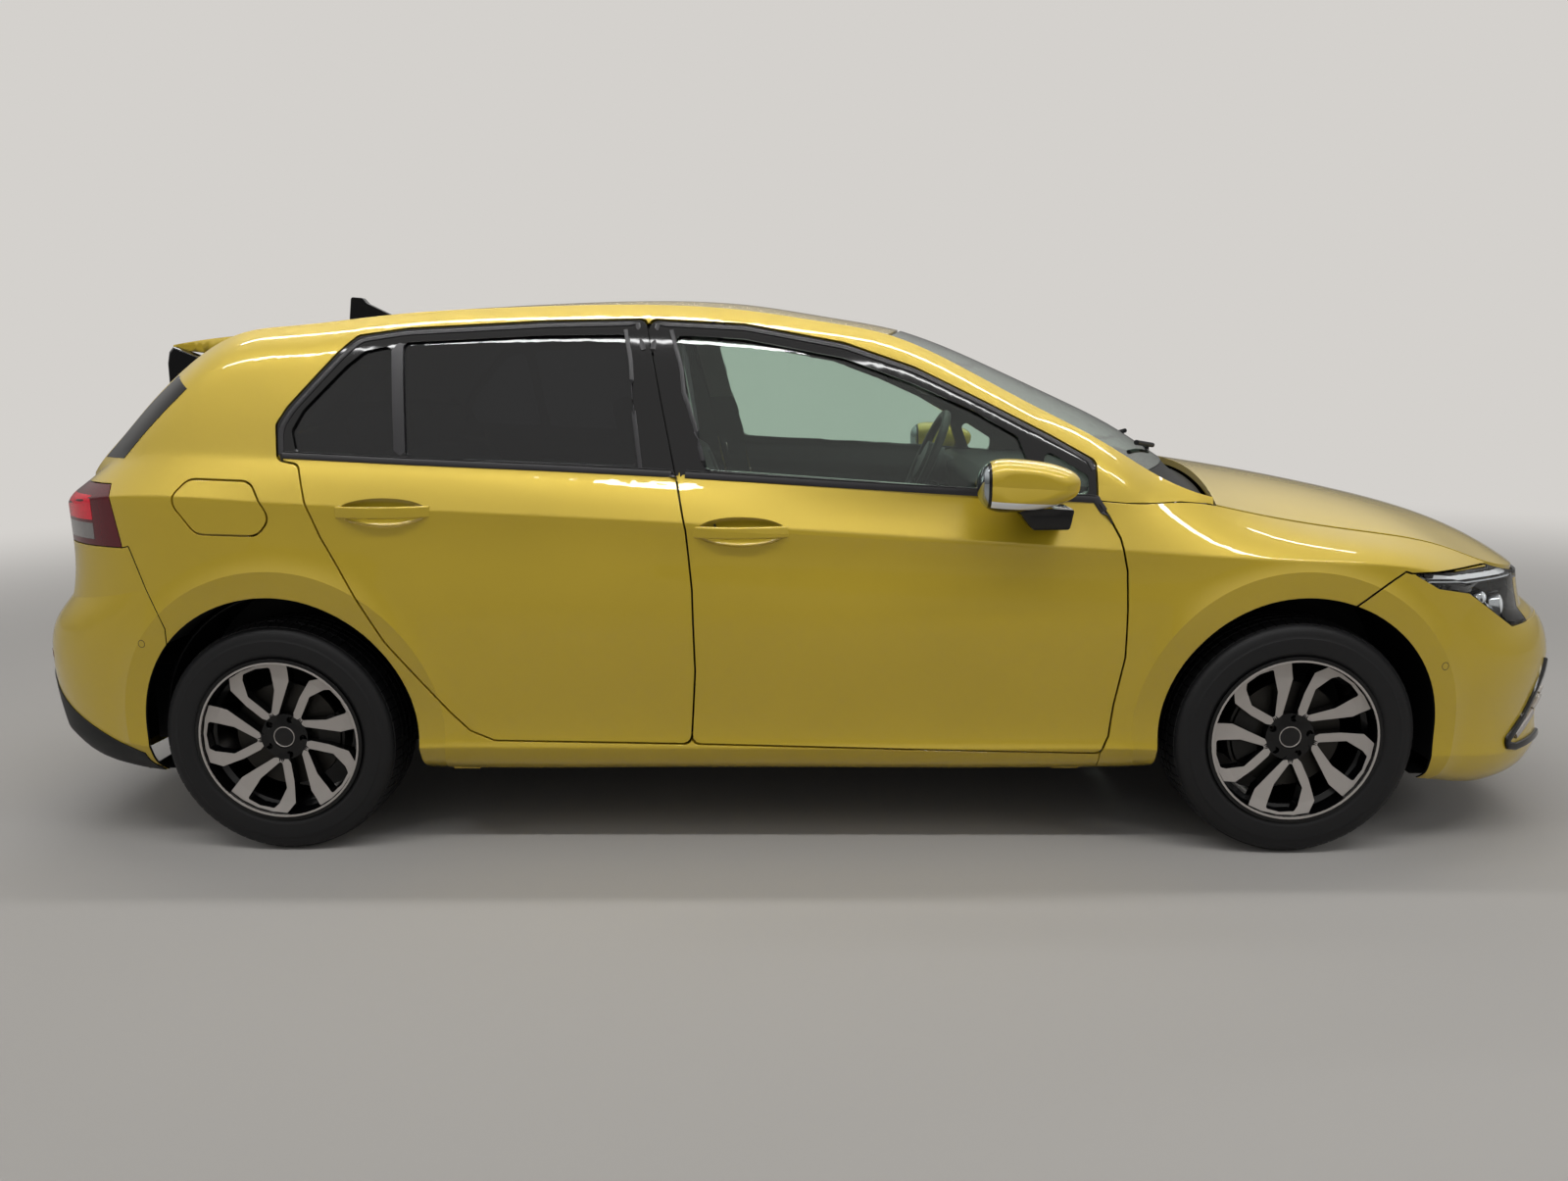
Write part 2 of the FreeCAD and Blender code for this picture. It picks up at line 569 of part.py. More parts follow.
# Smooth bowl pressed into the door behind the handle
def handle_cup(share):
    x, z = along(share[0]), up(share[1])
    stretch = FreeCAD.Matrix()
    stretch.scale(CUP_LENGTH / 2, CUP_DEPTH, CUP_HEIGHT / 2)
    bowl = Part.makeSphere(1.0).transformGeometry(stretch)
    return bowl.translated(Vector(x, side_y(x, z), z))


# Handle: an arc of flat bar whose two ends run into the door
def build_handle(share):
    x, z = along(share[0]), up(share[1])
    y = side_y(x, z)
    chord = HANDLE_LENGTH / 2
    radius = (chord * chord + HANDLE_STAND * HANDLE_STAND) / (2 * HANDLE_STAND)
    centre = Vector(x, y + HANDLE_STAND - radius, z - HANDLE_HEIGHT / 2)
    bar = Part.makeCylinder(radius, HANDLE_HEIGHT, centre)
    bar = bar.cut(Part.makeCylinder(radius - HANDLE_THICK, HANDLE_HEIGHT, centre))
    bar = bar.makeFillet(HANDLE_THICK * HANDLE_EDGE_SHARE, bar.Edges)
    keep = box(x - chord, x + chord, y - DOOR_FLANGE / 2, y + CUP_HEIGHT, z - CUP_HEIGHT, z + CUP_HEIGHT)
    return bar.common(keep)


# Roof, windscreen and tailgate glass run between the two rails and bow outward along the centre line
TOP_INSET = WINDOW_DEPTH + FIT_CLEARANCE
TOP_SHARES = (0.86, 0.757, 0.607, 0.466, 0.348, 0.209, 0.008, -0.174)
BOW_SHARES = (0.0432, 0.0362, 0.0142, 0.0047, 0.0023, 0, -0.0047, -0.0105)
RISE_SHARES = (0.003, 0.0135, 0.0192, 0.0247, 0.0247, 0.0206, 0.0165, 0.0178)
top_knots = [along(x) for x in TOP_SHARES][::-1]
top_bow = spline(top_knots, [b * LENGTH for b in BOW_SHARES][::-1])
top_rise = spline(top_knots, [up(r) for r in RISE_SHARES][::-1])


def place_at(x):
    low, high = 0.0, PLAN_END
    for _ in range(40):
        middle = (low + high) / 2
        if lower_point(middle, BELT_ROW)[0].x > x:
            low = middle
        else:
            high = middle
    return (low + high) / 2


def top_point(x, u, drop=0.0):
    rail = upper_point(place_at(x), 1)[0]
    half = rail.y - TOP_INSET
    shape = 1 - u * u
    return Vector(rail.x + top_bow(x) * shape, u * half, rail.z + top_rise(x) * shape - drop)


def top_wall(front, rear, count, reach, depth, lean=(0.0, 1.0), drop=0.0):
    outer, inner = [], []
    for x in spread(front, rear, count):
        row = [top_point(x, u * reach, drop) for u in spread(-1, 1, 21)]
        outer.append(row)
        inner.append([p - Vector(lean[0] * depth, 0, lean[1] * depth) for p in row])
    return wall(outer, inner)


SCREEN_FOOT_X = along(0.862)
SCREEN_TOP_X = along(0.612)
ROOF_FRONT_X = along(0.609)
ROOF_REAR_X = along(-0.155)
SCREEN_LEAN = (0.43, 0.90)
save("windscreen", top_wall(SCREEN_FOOT_X, SCREEN_TOP_X, 16, 1, GLASS, SCREEN_LEAN))
HINGE_Y = across(0.43)
HINGE_WIDTH = 44.0
TAILGATE_TOP_X = ROOF_REAR_X - PANEL_GAP
roof = top_wall(ROOF_FRONT_X, ROOF_REAR_X, 30, 1, ROOF_DEPTH)
lugs = top_wall(ROOF_REAR_X + PANEL_GAP, TAILGATE_TOP_X + FIT_CLEARANCE, 6, 1, ROOF_DEPTH / 2,
                drop=ROOF_DEPTH / 3)
for sign in (1, -1):
    low_y, high_y = sorted((sign * (HINGE_Y - HINGE_WIDTH / 2), sign * (HINGE_Y + HINGE_WIDTH / 2)))
    roof = roof.fuse(lugs.common(box(TAIL_X, along(0), low_y, high_y, 0, ROOF_HEIGHT)))
save("roof_panel", roof)

# Bonnet
BONNET_REAR_X = along(0.925)
BONNET_REAR_CENTRE_X = along(0.955)


def bonnet_rear(y):
    return BONNET_REAR_CENTRE_X - (BONNET_REAR_CENTRE_X - BONNET_REAR_X) * (y / BONNET_EDGE_Y) ** 2


def bonnet_edge(inset):
    line = []
    for at in spread(0, place_at(BONNET_REAR_X), 26):
        edge, out = lower_point(at, BELT_ROW)
        line.append(edge - out * inset)
    return line


def bonnet_wall(outer_depth, inner_depth):
    outer, inner = [], []
    for x in spread(BONNET_REAR_X - PANEL_GAP, NOSE_X, 30):
        row = [Vector(x, y, bonnet_height(x, y)) for y in spread(-across(0.86), across(0.86), 25)]
        outer.append([p - Vector(0, 0, outer_depth) for p in row])
        inner.append([p - Vector(0, 0, inner_depth) for p in row])
    return wall(outer, inner)


# Column over the plan outline of the bonnet, its rear edge an arc
def bonnet_column(inset, rear_margin):
    line = bonnet_edge(inset)
    points = [Vector(p.x, -p.y, 0) for p in line[:0:-1]] + [Vector(p.x, p.y, 0) for p in line]
    curve = Part.BSplineCurve()
    curve.interpolate([p - Vector(rear_margin, 0, 0) for p in points] if rear_margin else points)
    start, end = curve.StartPoint, curve.EndPoint
    close = Part.Arc(end, Vector(BONNET_REAR_CENTRE_X - rear_margin, 0, 0), start).toShape()
    return Part.Face(Part.Wire([curve.toShape(), close])).extrude(Vector(0, 0, ROOF_HEIGHT))


save("bonnet", bonnet_wall(0, BONNET_DEPTH).common(bonnet_column(FENDER_SKIN + PANEL_GAP, 0)))
bonnet_space = bonnet_wall(-SKIN, BONNET_DEPTH + RUNNING_CLEARANCE).common(bonnet_column(FENDER_SKIN, 0))

# Front wings
SPLIT_FRONT_SHARES = ((1.295, 0.5089), (1.277, 0.5124), (1.133, 0.4547), (1.0, 0.38))
LAMP_SHARES = ((1.297, 0.5089), (1.382, 0.48), (1.485, 0.4684), (1.667, 0.3984), (2.2, 0.3929), (2.2, 0.6),
               (1.6, 0.6), (1.585, 0.5055))


def thin_rows(start, end, count, rows, inner_depth, outer_depth=0.0):
    return wrap_wall(start, end, count, rows, outer_depth, inner_depth)


ALL_ROWS = [0, 0.5, 1, 1.5, 1.92, 2, 2.08, 2.5, 3, 3.5, 4, 4.5, 5, 5.5, 5.9, 6, 6.1, 6.5, 7, 7.5, 8]
wing_front = plan_at[4]
wing = thin_rows(wing_front, plan_at[7] + WHEELBASE * 0.03, 34, ALL_ROWS, FENDER_SKIN)
behind_door_line = [(x - PANEL_GAP, z) for x, z in side_points(DOOR_FRONT_SHARES)]
behind_door_line = [(along(0.7), 0)] + [(behind_door_line[0][0], 0)] + behind_door_line
behind_door_line += [(behind_door_line[-1][0], ROOF_HEIGHT), (along(0.7), ROOF_HEIGHT)]
wing = wing.cut(through(grow(behind_door_line, PANEL_GAP + SEAM), SEAM))
bumper_side = side_points(SPLIT_FRONT_SHARES) + [(along(1.0), 0), (along(2.2), 0), (along(2.2), up(0.5089))]
wing = wing.cut(through(grow(bumper_side, SEAM), SEAM)).cut(through(side_points(LAMP_SHARES), SEAM))
wing = wing.cut(arch_cut(0))
save("front_wings", Part.makeCompound([wing, mirrored(wing)]))

# Front bumper with its lower intake, and the panels that fill the intake and the slot between the lamps
INTAKE_SHARES = ((0.76, 0.315), (0.72, 0.175), (0.5, 0.162), (-0.5, 0.162), (-0.72, 0.175), (-0.76, 0.315))
NOSE_ROWS = ALL_ROWS[:-1] + [7.85]
NOSE_REACH_SHARE = 0.86
nose_start = plan_at[5] + (plan_at[6] - plan_at[5]) * NOSE_REACH_SHARE
nose = thin_rows(-nose_start, nose_start, 72, NOSE_ROWS, SKIN)
above_lamp_line = side_block(side_points(LAMP_SHARES), SEAM, -SIDE_REACH, SIDE_REACH)
bumper_keep = side_block(grow(bumper_side, -SEAM), SEAM, -SIDE_REACH, SIDE_REACH)
lamp_keep = side_block(grow(side_points(LAMP_SHARES), -FIT_CLEARANCE), SEAM, -SIDE_REACH, SIDE_REACH)
bumper = nose.common(bumper_keep).cut(above_lamp_line).cut(arch_cut(0)).cut(mirrored(arch_cut(0)))
intake = [(across(y), up(z)) for y, z in INTAKE_SHARES]
bumper = bumper.cut(front_block(intake, CORNER, along(1.7), along(2.2)))
save("front_bumper", bumper)
LAMP_INNER_Y = across(0.46)
LAMP_DEPTH = 62.0
lamp_rows = [5, 5.5, 5.9, 6, 6.1, 6.5, 7, 7.5, 7.85]
lamp = thin_rows(-nose_start, nose_start, 72, lamp_rows, LAMP_DEPTH, 1.0).common(lamp_keep)
left_lamp = lamp.common(box(along(1.1), NOSE_X, LAMP_INNER_Y, SIDE_REACH, 0, ROOF_HEIGHT)).cut(bonnet_space)
left_lamp = max(left_lamp.Solids, key=lambda s: s.Volume)
save("headlamps", Part.makeCompound([left_lamp, mirrored(left_lamp)]))
SLAT_DEPTH = 40.0
SLAT_THICK = 9.0
SLAT_HEIGHT_SHARES = (0.185, 0.212, 0.24, 0.267, 0.293)
band = thin_rows(-plan_at[2], plan_at[2], 20, lamp_rows, SLAT_DEPTH, SKIN)
band = band.common(box(along(1.5), NOSE_X, -LAMP_INNER_Y + FIT_CLEARANCE, LAMP_INNER_Y - FIT_CLEARANCE, 0,
                       ROOF_HEIGHT)).common(lamp_keep).cut(bonnet_space)
band = max(band.Solids, key=lambda s: s.Volume)
TRAY_ROWS = [0.8, 1, 1.5, 2, 2.5, 3, 3.5, 4, 4.5]
tray_outer = front_block(grow(intake, SKIN), CORNER + SKIN, along(1.6), along(2.2))
tray = thin_rows(-plan_at[4], plan_at[4], 40, TRAY_ROWS, SLAT_DEPTH + SKIN, SKIN + FIT_CLEARANCE)
tray = tray.common(tray_outer)
hollow = thin_rows(-plan_at[4], plan_at[4], 40, TRAY_ROWS, SLAT_DEPTH, 0)
slats = hollow.common(front_block(grow(intake, SKIN / 2), CORNER, along(1.6), along(2.2)))
tray = tray.cut(hollow.common(front_block(intake, CORNER, along(1.6), along(2.2))))
bars = []
for share in SLAT_HEIGHT_SHARES:
    bars.append(box(along(1.6), NOSE_X, -SIDE_REACH, SIDE_REACH, up(share), up(share) + SLAT_THICK))
slats = slats.cut(thin_rows(-plan_at[4], plan_at[4], 40, TRAY_ROWS, SKIN + FIT_CLEARANCE, -SKIN))
tray = tray.fuse(slats.common(Part.makeCompound(bars)))
save("grille_panels", Part.makeCompound([band, tray]))

# Tailgate: one wall from the bumper up over the rear window to the roof, with the window cut
TAILGATE_END = SIDE_END + PANEL_GAP
TAILGATE_DEPTH = 42.0
TAILGATE_LOW_ROWS = [4.98, 5.3, 5.6, 5.9, 6, 6.1, 6.5, 7, 7.5, 8]
TAILGATE_HIGH_SHARES = [0.06, 0.15, 0.25, 0.35, 0.45, 0.55, 0.65, 0.75, 0.85, 0.93, 1]
TAILGATE_BOW = 9.0


def tailgate_grid(depth, rows, shares):
    grid = []
    lean = math.hypot(up(0.27), across(0.5))
    for i in range(31):
        u = -1 + 2 * i / 30
        at = PLAN_END - u * (PLAN_END - TAILGATE_END)
        column = []
        for row in rows:
            point, out = lower_point(at, row)
            column.append(point - out * depth)
        foot, out = lower_point(at, BELT_ROW)
        head = top_point(TAILGATE_TOP_X, u)
        back = Vector(-up(0.27) / lean, 0, across(0.5) / lean)
        for share in shares:
            swell = TAILGATE_BOW * (1 - (2 * share - 1) ** 2)
            column.append(foot + (head - foot) * share + back * (swell - depth))
        grid.append(column)
    return grid


def tailgate_wall(outer_depth, inner_depth, rows=None, shares=None):
    rows = TAILGATE_LOW_ROWS if rows is None else rows
    shares = TAILGATE_HIGH_SHARES if shares is None else shares
    return wall(tailgate_grid(outer_depth, rows, shares), tailgate_grid(inner_depth, rows, shares))


REAR_WINDOW_VIEW_SHARES = ((-0.66, 0.715), (-0.56, 0.885), (0.56, 0.885), (0.66, 0.715))
TAILGATE_VIEW_SHARES = ((-0.8, 0.462), (-0.84, 0.55), (-0.9, 0.7), (-0.9, 0.99), (0.9, 0.99), (0.9, 0.7),
                        (0.84, 0.55), (0.8, 0.462))
rear_window = [(across(y), up(z)) for y, z in REAR_WINDOW_VIEW_SHARES]
tailgate_view = [(across(y), up(z)) for y, z in TAILGATE_VIEW_SHARES]
window_zone = front_block(rear_window, CORNER * 2, TAIL_X * 1.1, along(0))
glass_zone = front_block(grow(rear_window, -FIT_CLEARANCE), CORNER * 2, TAIL_X * 1.1, along(0))
INNER_LAMP_SHARES = ((0.42, 0.575), (0.5, 0.662), (0.9, 0.675), (0.9, 0.566))
inner_lamp = [(across(y), up(z)) for y, z in INNER_LAMP_SHARES]
TAIL_LAMP_DEPTH = 26.0
tailgate = tailgate_wall(0, TAILGATE_DEPTH).common(
    front_block(grow(tailgate_view, -SEAM), CORNER, TAIL_X * 1.1, along(0.1)))
tailgate = tailgate.cut(window_zone)
roof_column = top_wall(along(0.2), TAILGATE_TOP_X, 20, 1.1, ROOF_DEPTH * 5).translated(Vector(0, 0, SKIN))
quarter_space = side_wall(SIDE_START, TAILGATE_END, SIDE_COLUMNS, -FLARE, FRAME_DEPTH + RUNNING_CLEARANCE,
                          WINDOW_DEPTH + RUNNING_CLEARANCE)
tailgate = tailgate.cut(roof_column).cut(quarter_space).cut(mirrored(quarter_space))
tailgate = max(tailgate.Solids, key=lambda s: s.Volume)
hatch_lamps = []
for sign in (1, -1):
    view = [(sign * y, z) for y, z in inner_lamp]
    pocket = tailgate_wall(-SKIN, TAIL_LAMP_DEPTH).common(front_block(view, SKIN, TAIL_X * 1.1, along(-0.5)))
    lens = tailgate_wall(0, TAIL_LAMP_DEPTH - FIT_CLEARANCE).common(
        front_block(grow(view, -FIT_CLEARANCE), SKIN, TAIL_X * 1.1, along(-0.5)))
    lens = lens.cut(quarter_space).cut(mirrored(quarter_space))
    lens = max(lens.Solids, key=lambda s: s.Volume)
    tailgate = tailgate.cut(pocket)
    hatch_lamps.append(lens)
save("tailgate", tailgate)
save("tailgate_lamps", Part.makeCompound(hatch_lamps))
save("tailgate_glass", tailgate_wall(GLASS_INSET / 3, GLASS_INSET / 3 + GLASS).common(glass_zone))

# Roof spoiler, which carries the roof's curve on past the tailgate, and its side blades
SPOILER_RUN = 238.0
SPOILER_SLOPE_SHARE = 0.105
SPOILER_ROOT = 62.0
SPOILER_TIP = 13.0
SPOILER_REACH_SHARE = 0.95
SPOILER_SWEEP_SHARE = 0.16
SPOILER_TAPER_SHARE = 0.05


def spoiler_grid(root, tip):
    grid = []
    for share in spread(0, 1, 9):
        row = []
        for u in spread(-SPOILER_REACH_SHARE, SPOILER_REACH_SHARE, 21):
            edge = top_point(TAILGATE_TOP_X, u)
            run = share * SPOILER_RUN * (1 - SPOILER_SWEEP_SHARE * u * u)
            depth = root + (tip - root) * share
            fall = run * SPOILER_SLOPE_SHARE * (1 + share) / 2 + depth
            row.append(Vector(edge.x - run, edge.y * (1 - SPOILER_TAPER_SHARE * share), edge.z - fall))
        grid.append(row)
    return grid


spoiler = wall(spoiler_grid(0, 0), spoiler_grid(SPOILER_ROOT, SPOILER_TIP))
spoiler = spoiler.cut(tailgate_wall(-FIT_CLEARANCE, TAILGATE_DEPTH * 3))
spoiler = max(spoiler.Solids, key=lambda s: s.Volume)
BLADE_SHARES = ((-0.34, 0.905), (-0.50, 0.904), (-0.525, 0.903), (-0.528, 0.825), (-0.52, 0.815))
BLADE_WIDTH = 14.0
blade = side_block(side_points(BLADE_SHARES), SKIN / 2, across(0.585) - BLADE_WIDTH, across(0.585))
blade = blade.cut(tailgate_wall(-FIT_CLEARANCE, TAILGATE_DEPTH * 4))
blade = max(blade.Solids, key=lambda s: s.Volume)
save("roof_spoiler", join([spoiler, blade, mirrored(blade)]))

# Rear quarter lamps and the bumper that wraps up to them
outer_lamp = side_points(((-0.474, 0.5659), (-0.512, 0.675), (-0.95, 0.675), (-0.95, 0.5659)))
bumper_rear_line = side_points(BUMPER_LINE_SHARES)
rear_keep = bumper_rear_line + [outer_lamp[0], outer_lamp[-1], (TAIL_X * 1.1, 0), (along(-0.3), 0)]
side = build_side().cut(arch_cut(1))
side = side.cut(through(rear_keep, SEAM)).cut(through(grow(outer_lamp, SEAM), SEAM))
fender_zone = side_points(DOOR_FRONT_SHARES) + belt_edge(6, place_at(along(0.804)), SIDE_START, SEAM)
fender_zone += [(NOSE_X, fender_zone[-1][1]), (NOSE_X, 0), (along(0.813), 0)]
side = side.cut(through(fender_zone, SEAM))
side = side.cut(box(BONNET_REAR_X - 2 * PANEL_GAP, NOSE_X, 0, SIDE_REACH, up(0.5), ROOF_HEIGHT))
lamp_wall = side_wall(SIDE_START, SIDE_END, SIDE_COLUMNS, 0, TAIL_LAMP_DEPTH, TAIL_LAMP_DEPTH)
quarter_lamp = lamp_wall.common(through(grow(outer_lamp, -FIT_CLEARANCE), SEAM))
save("tail_lamps", Part.makeCompound([quarter_lamp, mirrored(quarter_lamp)]))
TAIL_COLUMNS = 80
TAIL_REACH_SHARE = 0.3
tail_start = plan_at[10] + (plan_at[11] - plan_at[10]) * TAIL_REACH_SHARE
tail_rows = [0, 0.5, 1, 1.5, 1.92, 2, 2.08, 2.5, 3, 3.5, 4, 4.5, 4.88]
tail = thin_rows(tail_start, 2 * PLAN_END - tail_start, TAIL_COLUMNS, tail_rows, SKIN)
corner_rows = [4.8, 5.2, 5.6, 5.9, 6, 6.1]
corner = thin_rows(tail_start, TAILGATE_END - PANEL_GAP, 16, corner_rows, SKIN)
corner = corner.common(through(grow(rear_keep, -SEAM), SEAM))
tail = tail.common(side_block(grow(rear_keep, -SEAM), SEAM, -SIDE_REACH, SIDE_REACH))
tail = tail.cut(arch_cut(1)).cut(mirrored(arch_cut(1)))
rear_bumper = join([tail, corner, mirrored(corner)])
DIFFUSER_SHARES = ((0.78, 0.3), (0.8, 0.1), (-0.8, 0.1), (-0.78, 0.3))
DIFFUSER_FRONT_X = along(-0.75)
diffuser_view = [(across(y), up(z)) for y, z in DIFFUSER_SHARES]
diffuser_zone = front_block(diffuser_view, CORNER, TAIL_X * 1.1, DIFFUSER_FRONT_X)
save("rear_bumper", rear_bumper.cut(diffuser_zone))
low = thin_rows(tail_start, 2 * PLAN_END - tail_start, TAIL_COLUMNS, tail_rows[:10], SKIN)
diffuser_block = front_block(grow(diffuser_view, -FIT_CLEARANCE), CORNER, TAIL_X * 1.1,
                             DIFFUSER_FRONT_X - FIT_CLEARANCE)
save("rear_diffuser", low.common(diffuser_block))

# Fuel flap in the right rear quarter
FLAP_SHARES = ((-0.218, 0.6861), (-0.013, 0.6813), (0.016, 0.6168), (0.002, 0.5872), (-0.197, 0.5913),
               (-0.278, 0.6504))
flap_outline = side_points(FLAP_SHARES)
FLAP_DEPTH = 7.0
FLAP_CORNER = 40.0
POCKET_DEPTH = 45.0
FLAP_HINGE_X = along(-0.03)
flap_skin = side_wall(SIDE_START, SIDE_END, SIDE_COLUMNS, 0, FLAP_DEPTH, FLAP_DEPTH)
flap = flap_skin.common(through(grow(flap_outline, -SEAM), FLAP_CORNER))
flap_recess = side_wall(SIDE_START, SIDE_END, SIDE_COLUMNS, -FLARE, FLAP_DEPTH + RUNNING_CLEARANCE,
                        FLAP_DEPTH + RUNNING_CLEARANCE)
flap_pocket = side_wall(SIDE_START, SIDE_END, SIDE_COLUMNS, -FLARE, POCKET_DEPTH, WINDOW_DEPTH * 0.8)
right = side.cut(flap_recess.common(through(grow(flap_outline, SEAM), FLAP_CORNER + SEAM)))
right = right.cut(flap_pocket.common(through(grow(flap_outline, -SHUT_LAP), FLAP_CORNER)))
flap_hinge_zone = box(FLAP_HINGE_X, NOSE_X, 0, SIDE_REACH, 0, ROOF_HEIGHT)
flap_hinge_pocket = flap_pocket.common(through(grow(flap_outline, SEAM), FLAP_CORNER + SEAM))
right = right.cut(flap_hinge_pocket.common(flap_hinge_zone))
right = right.fuse(
    build_seal(flap_outline, FLAP_DEPTH, FLAP_DEPTH + RUNNING_CLEARANCE, along(-0.2), 0, ROOF_HEIGHT))
save("fuel_flap", mirrored(flap))
save("side_frame_left", side)
save("side_frame_right", mirrored(right))

# Doors and their glass
front_windows = (FRONT_WINDOW_SHARES, CORNER_WINDOW_SHARES)
rear_windows = (REAR_WINDOW_SHARES, QUARTER_WINDOW_SHARES)
for name, outline, windows, pillar, handle in (
        ("front", front_door_outline, front_windows, pillar_outline, HANDLE_SHARES[0]),
        ("rear", rear_door_outline, rear_windows, None, HANDLE_SHARES[1])):
    door = build_door(outline, windows, pillar).cut(handle_cup(handle)).fuse(build_handle(handle))
    glass = build_glass(windows)
    save("door_" + name + "_left", door)
    save("door_" + name + "_right", mirrored(door))
    save("door_glass_" + name + "_left", glass)
    save("door_glass_" + name + "_right", mirrored(glass))

# Wheels: tyre and rim are turned about the axle, which runs across the car
WHEELS = (("front_left", FRONT_AXLE_X, FRONT_TRACK / 2), ("front_right", FRONT_AXLE_X, -FRONT_TRACK / 2),
          ("rear_left", REAR_AXLE_X, REAR_TRACK / 2), ("rear_right", REAR_AXLE_X, -REAR_TRACK / 2))
SIDEWALL_BULGE = TYRE_WIDTH / 2
BEAD_HALF = RIM_WIDTH / 2 - TYRE_WALL * 1.1
TREAD_HALF = TYRE_WIDTH * 0.41
SHOULDER_RADIUS = TYRE_RADIUS - 9.0
GROOVE_DEPTH = 7.0
GROOVE_WIDTH = 8.0
GROOVE_SHARES = (-0.52, -0.18, 0.18, 0.52)
CROWN_SHARE = 0.8


# Turned solid from a profile of (across, radius) points; straight runs and one curved sidewall
def turned(edges):
    wire = Part.Wire(edges)
    face = Part.Face(wire)
    return face.revolve(Vector(0, 0, 0), Vector(0, 1, 0), 360)


def flat(y, r):
    return Vector(0, y, r)


def build_tyre():
    middle = (TYRE_RADIUS + TYRE_BEAD_RADIUS) / 2
    points = []
    for share in GROOVE_SHARES:
        centre = share * TREAD_HALF
        crown = TYRE_RADIUS - (centre / TREAD_HALF) ** 2 * GROOVE_DEPTH / 2
        points += [(centre - GROOVE_WIDTH / 2, crown), (centre - GROOVE_WIDTH / 2, crown - GROOVE_DEPTH),
                   (centre + GROOVE_WIDTH / 2, crown - GROOVE_DEPTH), (centre + GROOVE_WIDTH / 2, crown)]
    tread = [flat(-TREAD_HALF, SHOULDER_RADIUS)] + [flat(y, r) for y, r in points]
    tread += [flat(TREAD_HALF, SHOULDER_RADIUS)]
    edges = [Part.LineSegment(a, b).toShape() for a, b in zip(tread, tread[1:])]
    out, inside = SIDEWALL_BULGE, SIDEWALL_BULGE - TYRE_WALL
    edges.append(Part.Arc(tread[-1], flat(out, middle), flat(BEAD_HALF, TYRE_BEAD_RADIUS)).toShape())
    bead_in = flat(BEAD_HALF - TYRE_WALL * 1.5, TYRE_BEAD_RADIUS)
    edges.append(Part.LineSegment(flat(BEAD_HALF, TYRE_BEAD_RADIUS), bead_in).toShape())
    crown_in = TYRE_RADIUS - GROOVE_DEPTH - TYRE_WALL
    crown_half = TREAD_HALF * CROWN_SHARE
    edges.append(Part.Arc(bead_in, flat(inside, middle), flat(crown_half, crown_in)).toShape())
    edges.append(Part.LineSegment(flat(crown_half, crown_in), flat(-crown_half, crown_in)).toShape())
    other_in = flat(-bead_in.y, TYRE_BEAD_RADIUS)
    edges.append(Part.Arc(flat(-crown_half, crown_in), flat(-inside, middle), other_in).toShape())
    edges.append(Part.LineSegment(other_in, flat(-BEAD_HALF, TYRE_BEAD_RADIUS)).toShape())
    edges.append(Part.Arc(flat(-BEAD_HALF, TYRE_BEAD_RADIUS), flat(-out, middle), tread[0]).toShape())
    return turned(edges)


BEAD_FIT = 0.7
SEAT_RADIUS = TYRE_BEAD_RADIUS - BEAD_FIT
SPOKE_FACE = RIM_WIDTH / 2 - 18.0
SPOKE_DISH = 14.0
SPOKE_THICK = 26.0
SPOKE_RADIUS = SEAT_RADIUS - RIM_BARREL_WALL / 2
DISC_RADIUS = 140.0
DISC_WIDTH = 24.0
DISC_FACE = 38.0
CAP_RADIUS = 32.0
BOLT_CIRCLE = 50.0
BOLT_RADIUS = 9.0
BOLT_DEPTH = 12.0

# One twin spoke: a V that leans round the hub, as degrees from its middle and shares of the spoke radius
SPOKE_OUTLINE_SHARES = ((33.8, 0.24), (32.6, 0.60), (30.0, 0.88), (23.0, 1.0), (12.0, 1.0), (0.0, 1.0),
                        (-12.0, 1.0), (-22.5, 1.0), (-24.5, 0.78), (18.0, 0.20))
SPOKE_WINDOW_SHARES = ((13.2, 0.32), (22.9, 0.68), (16.0, 0.89), (12.5, 0.955), (1.5, 0.965), (-9.4, 0.955),
                       (-8.6, 0.64))
WHEEL_TURN = {"front": 118.0, "rear": 103.0}


def polygon_turned(points):
    corners = [flat(y, r) for y, r in points]
    edges = [Part.LineSegment(a, b).toShape() for a, b in zip(corners, corners[1:] + corners[:1])]
    return turned(edges)


def polar_block(shares, turn, radius, depth):
    points = []
    for degrees, share in shares:
        angle = math.radians(turn - degrees)
        points.append((math.cos(angle) * share * SPOKE_RADIUS, math.sin(angle) * share * SPOKE_RADIUS))
    face = rounded(points, radius, lambda p: Vector(p[0], 0, p[1]))
    return face.extrude(Vector(0, depth * 2, 0))


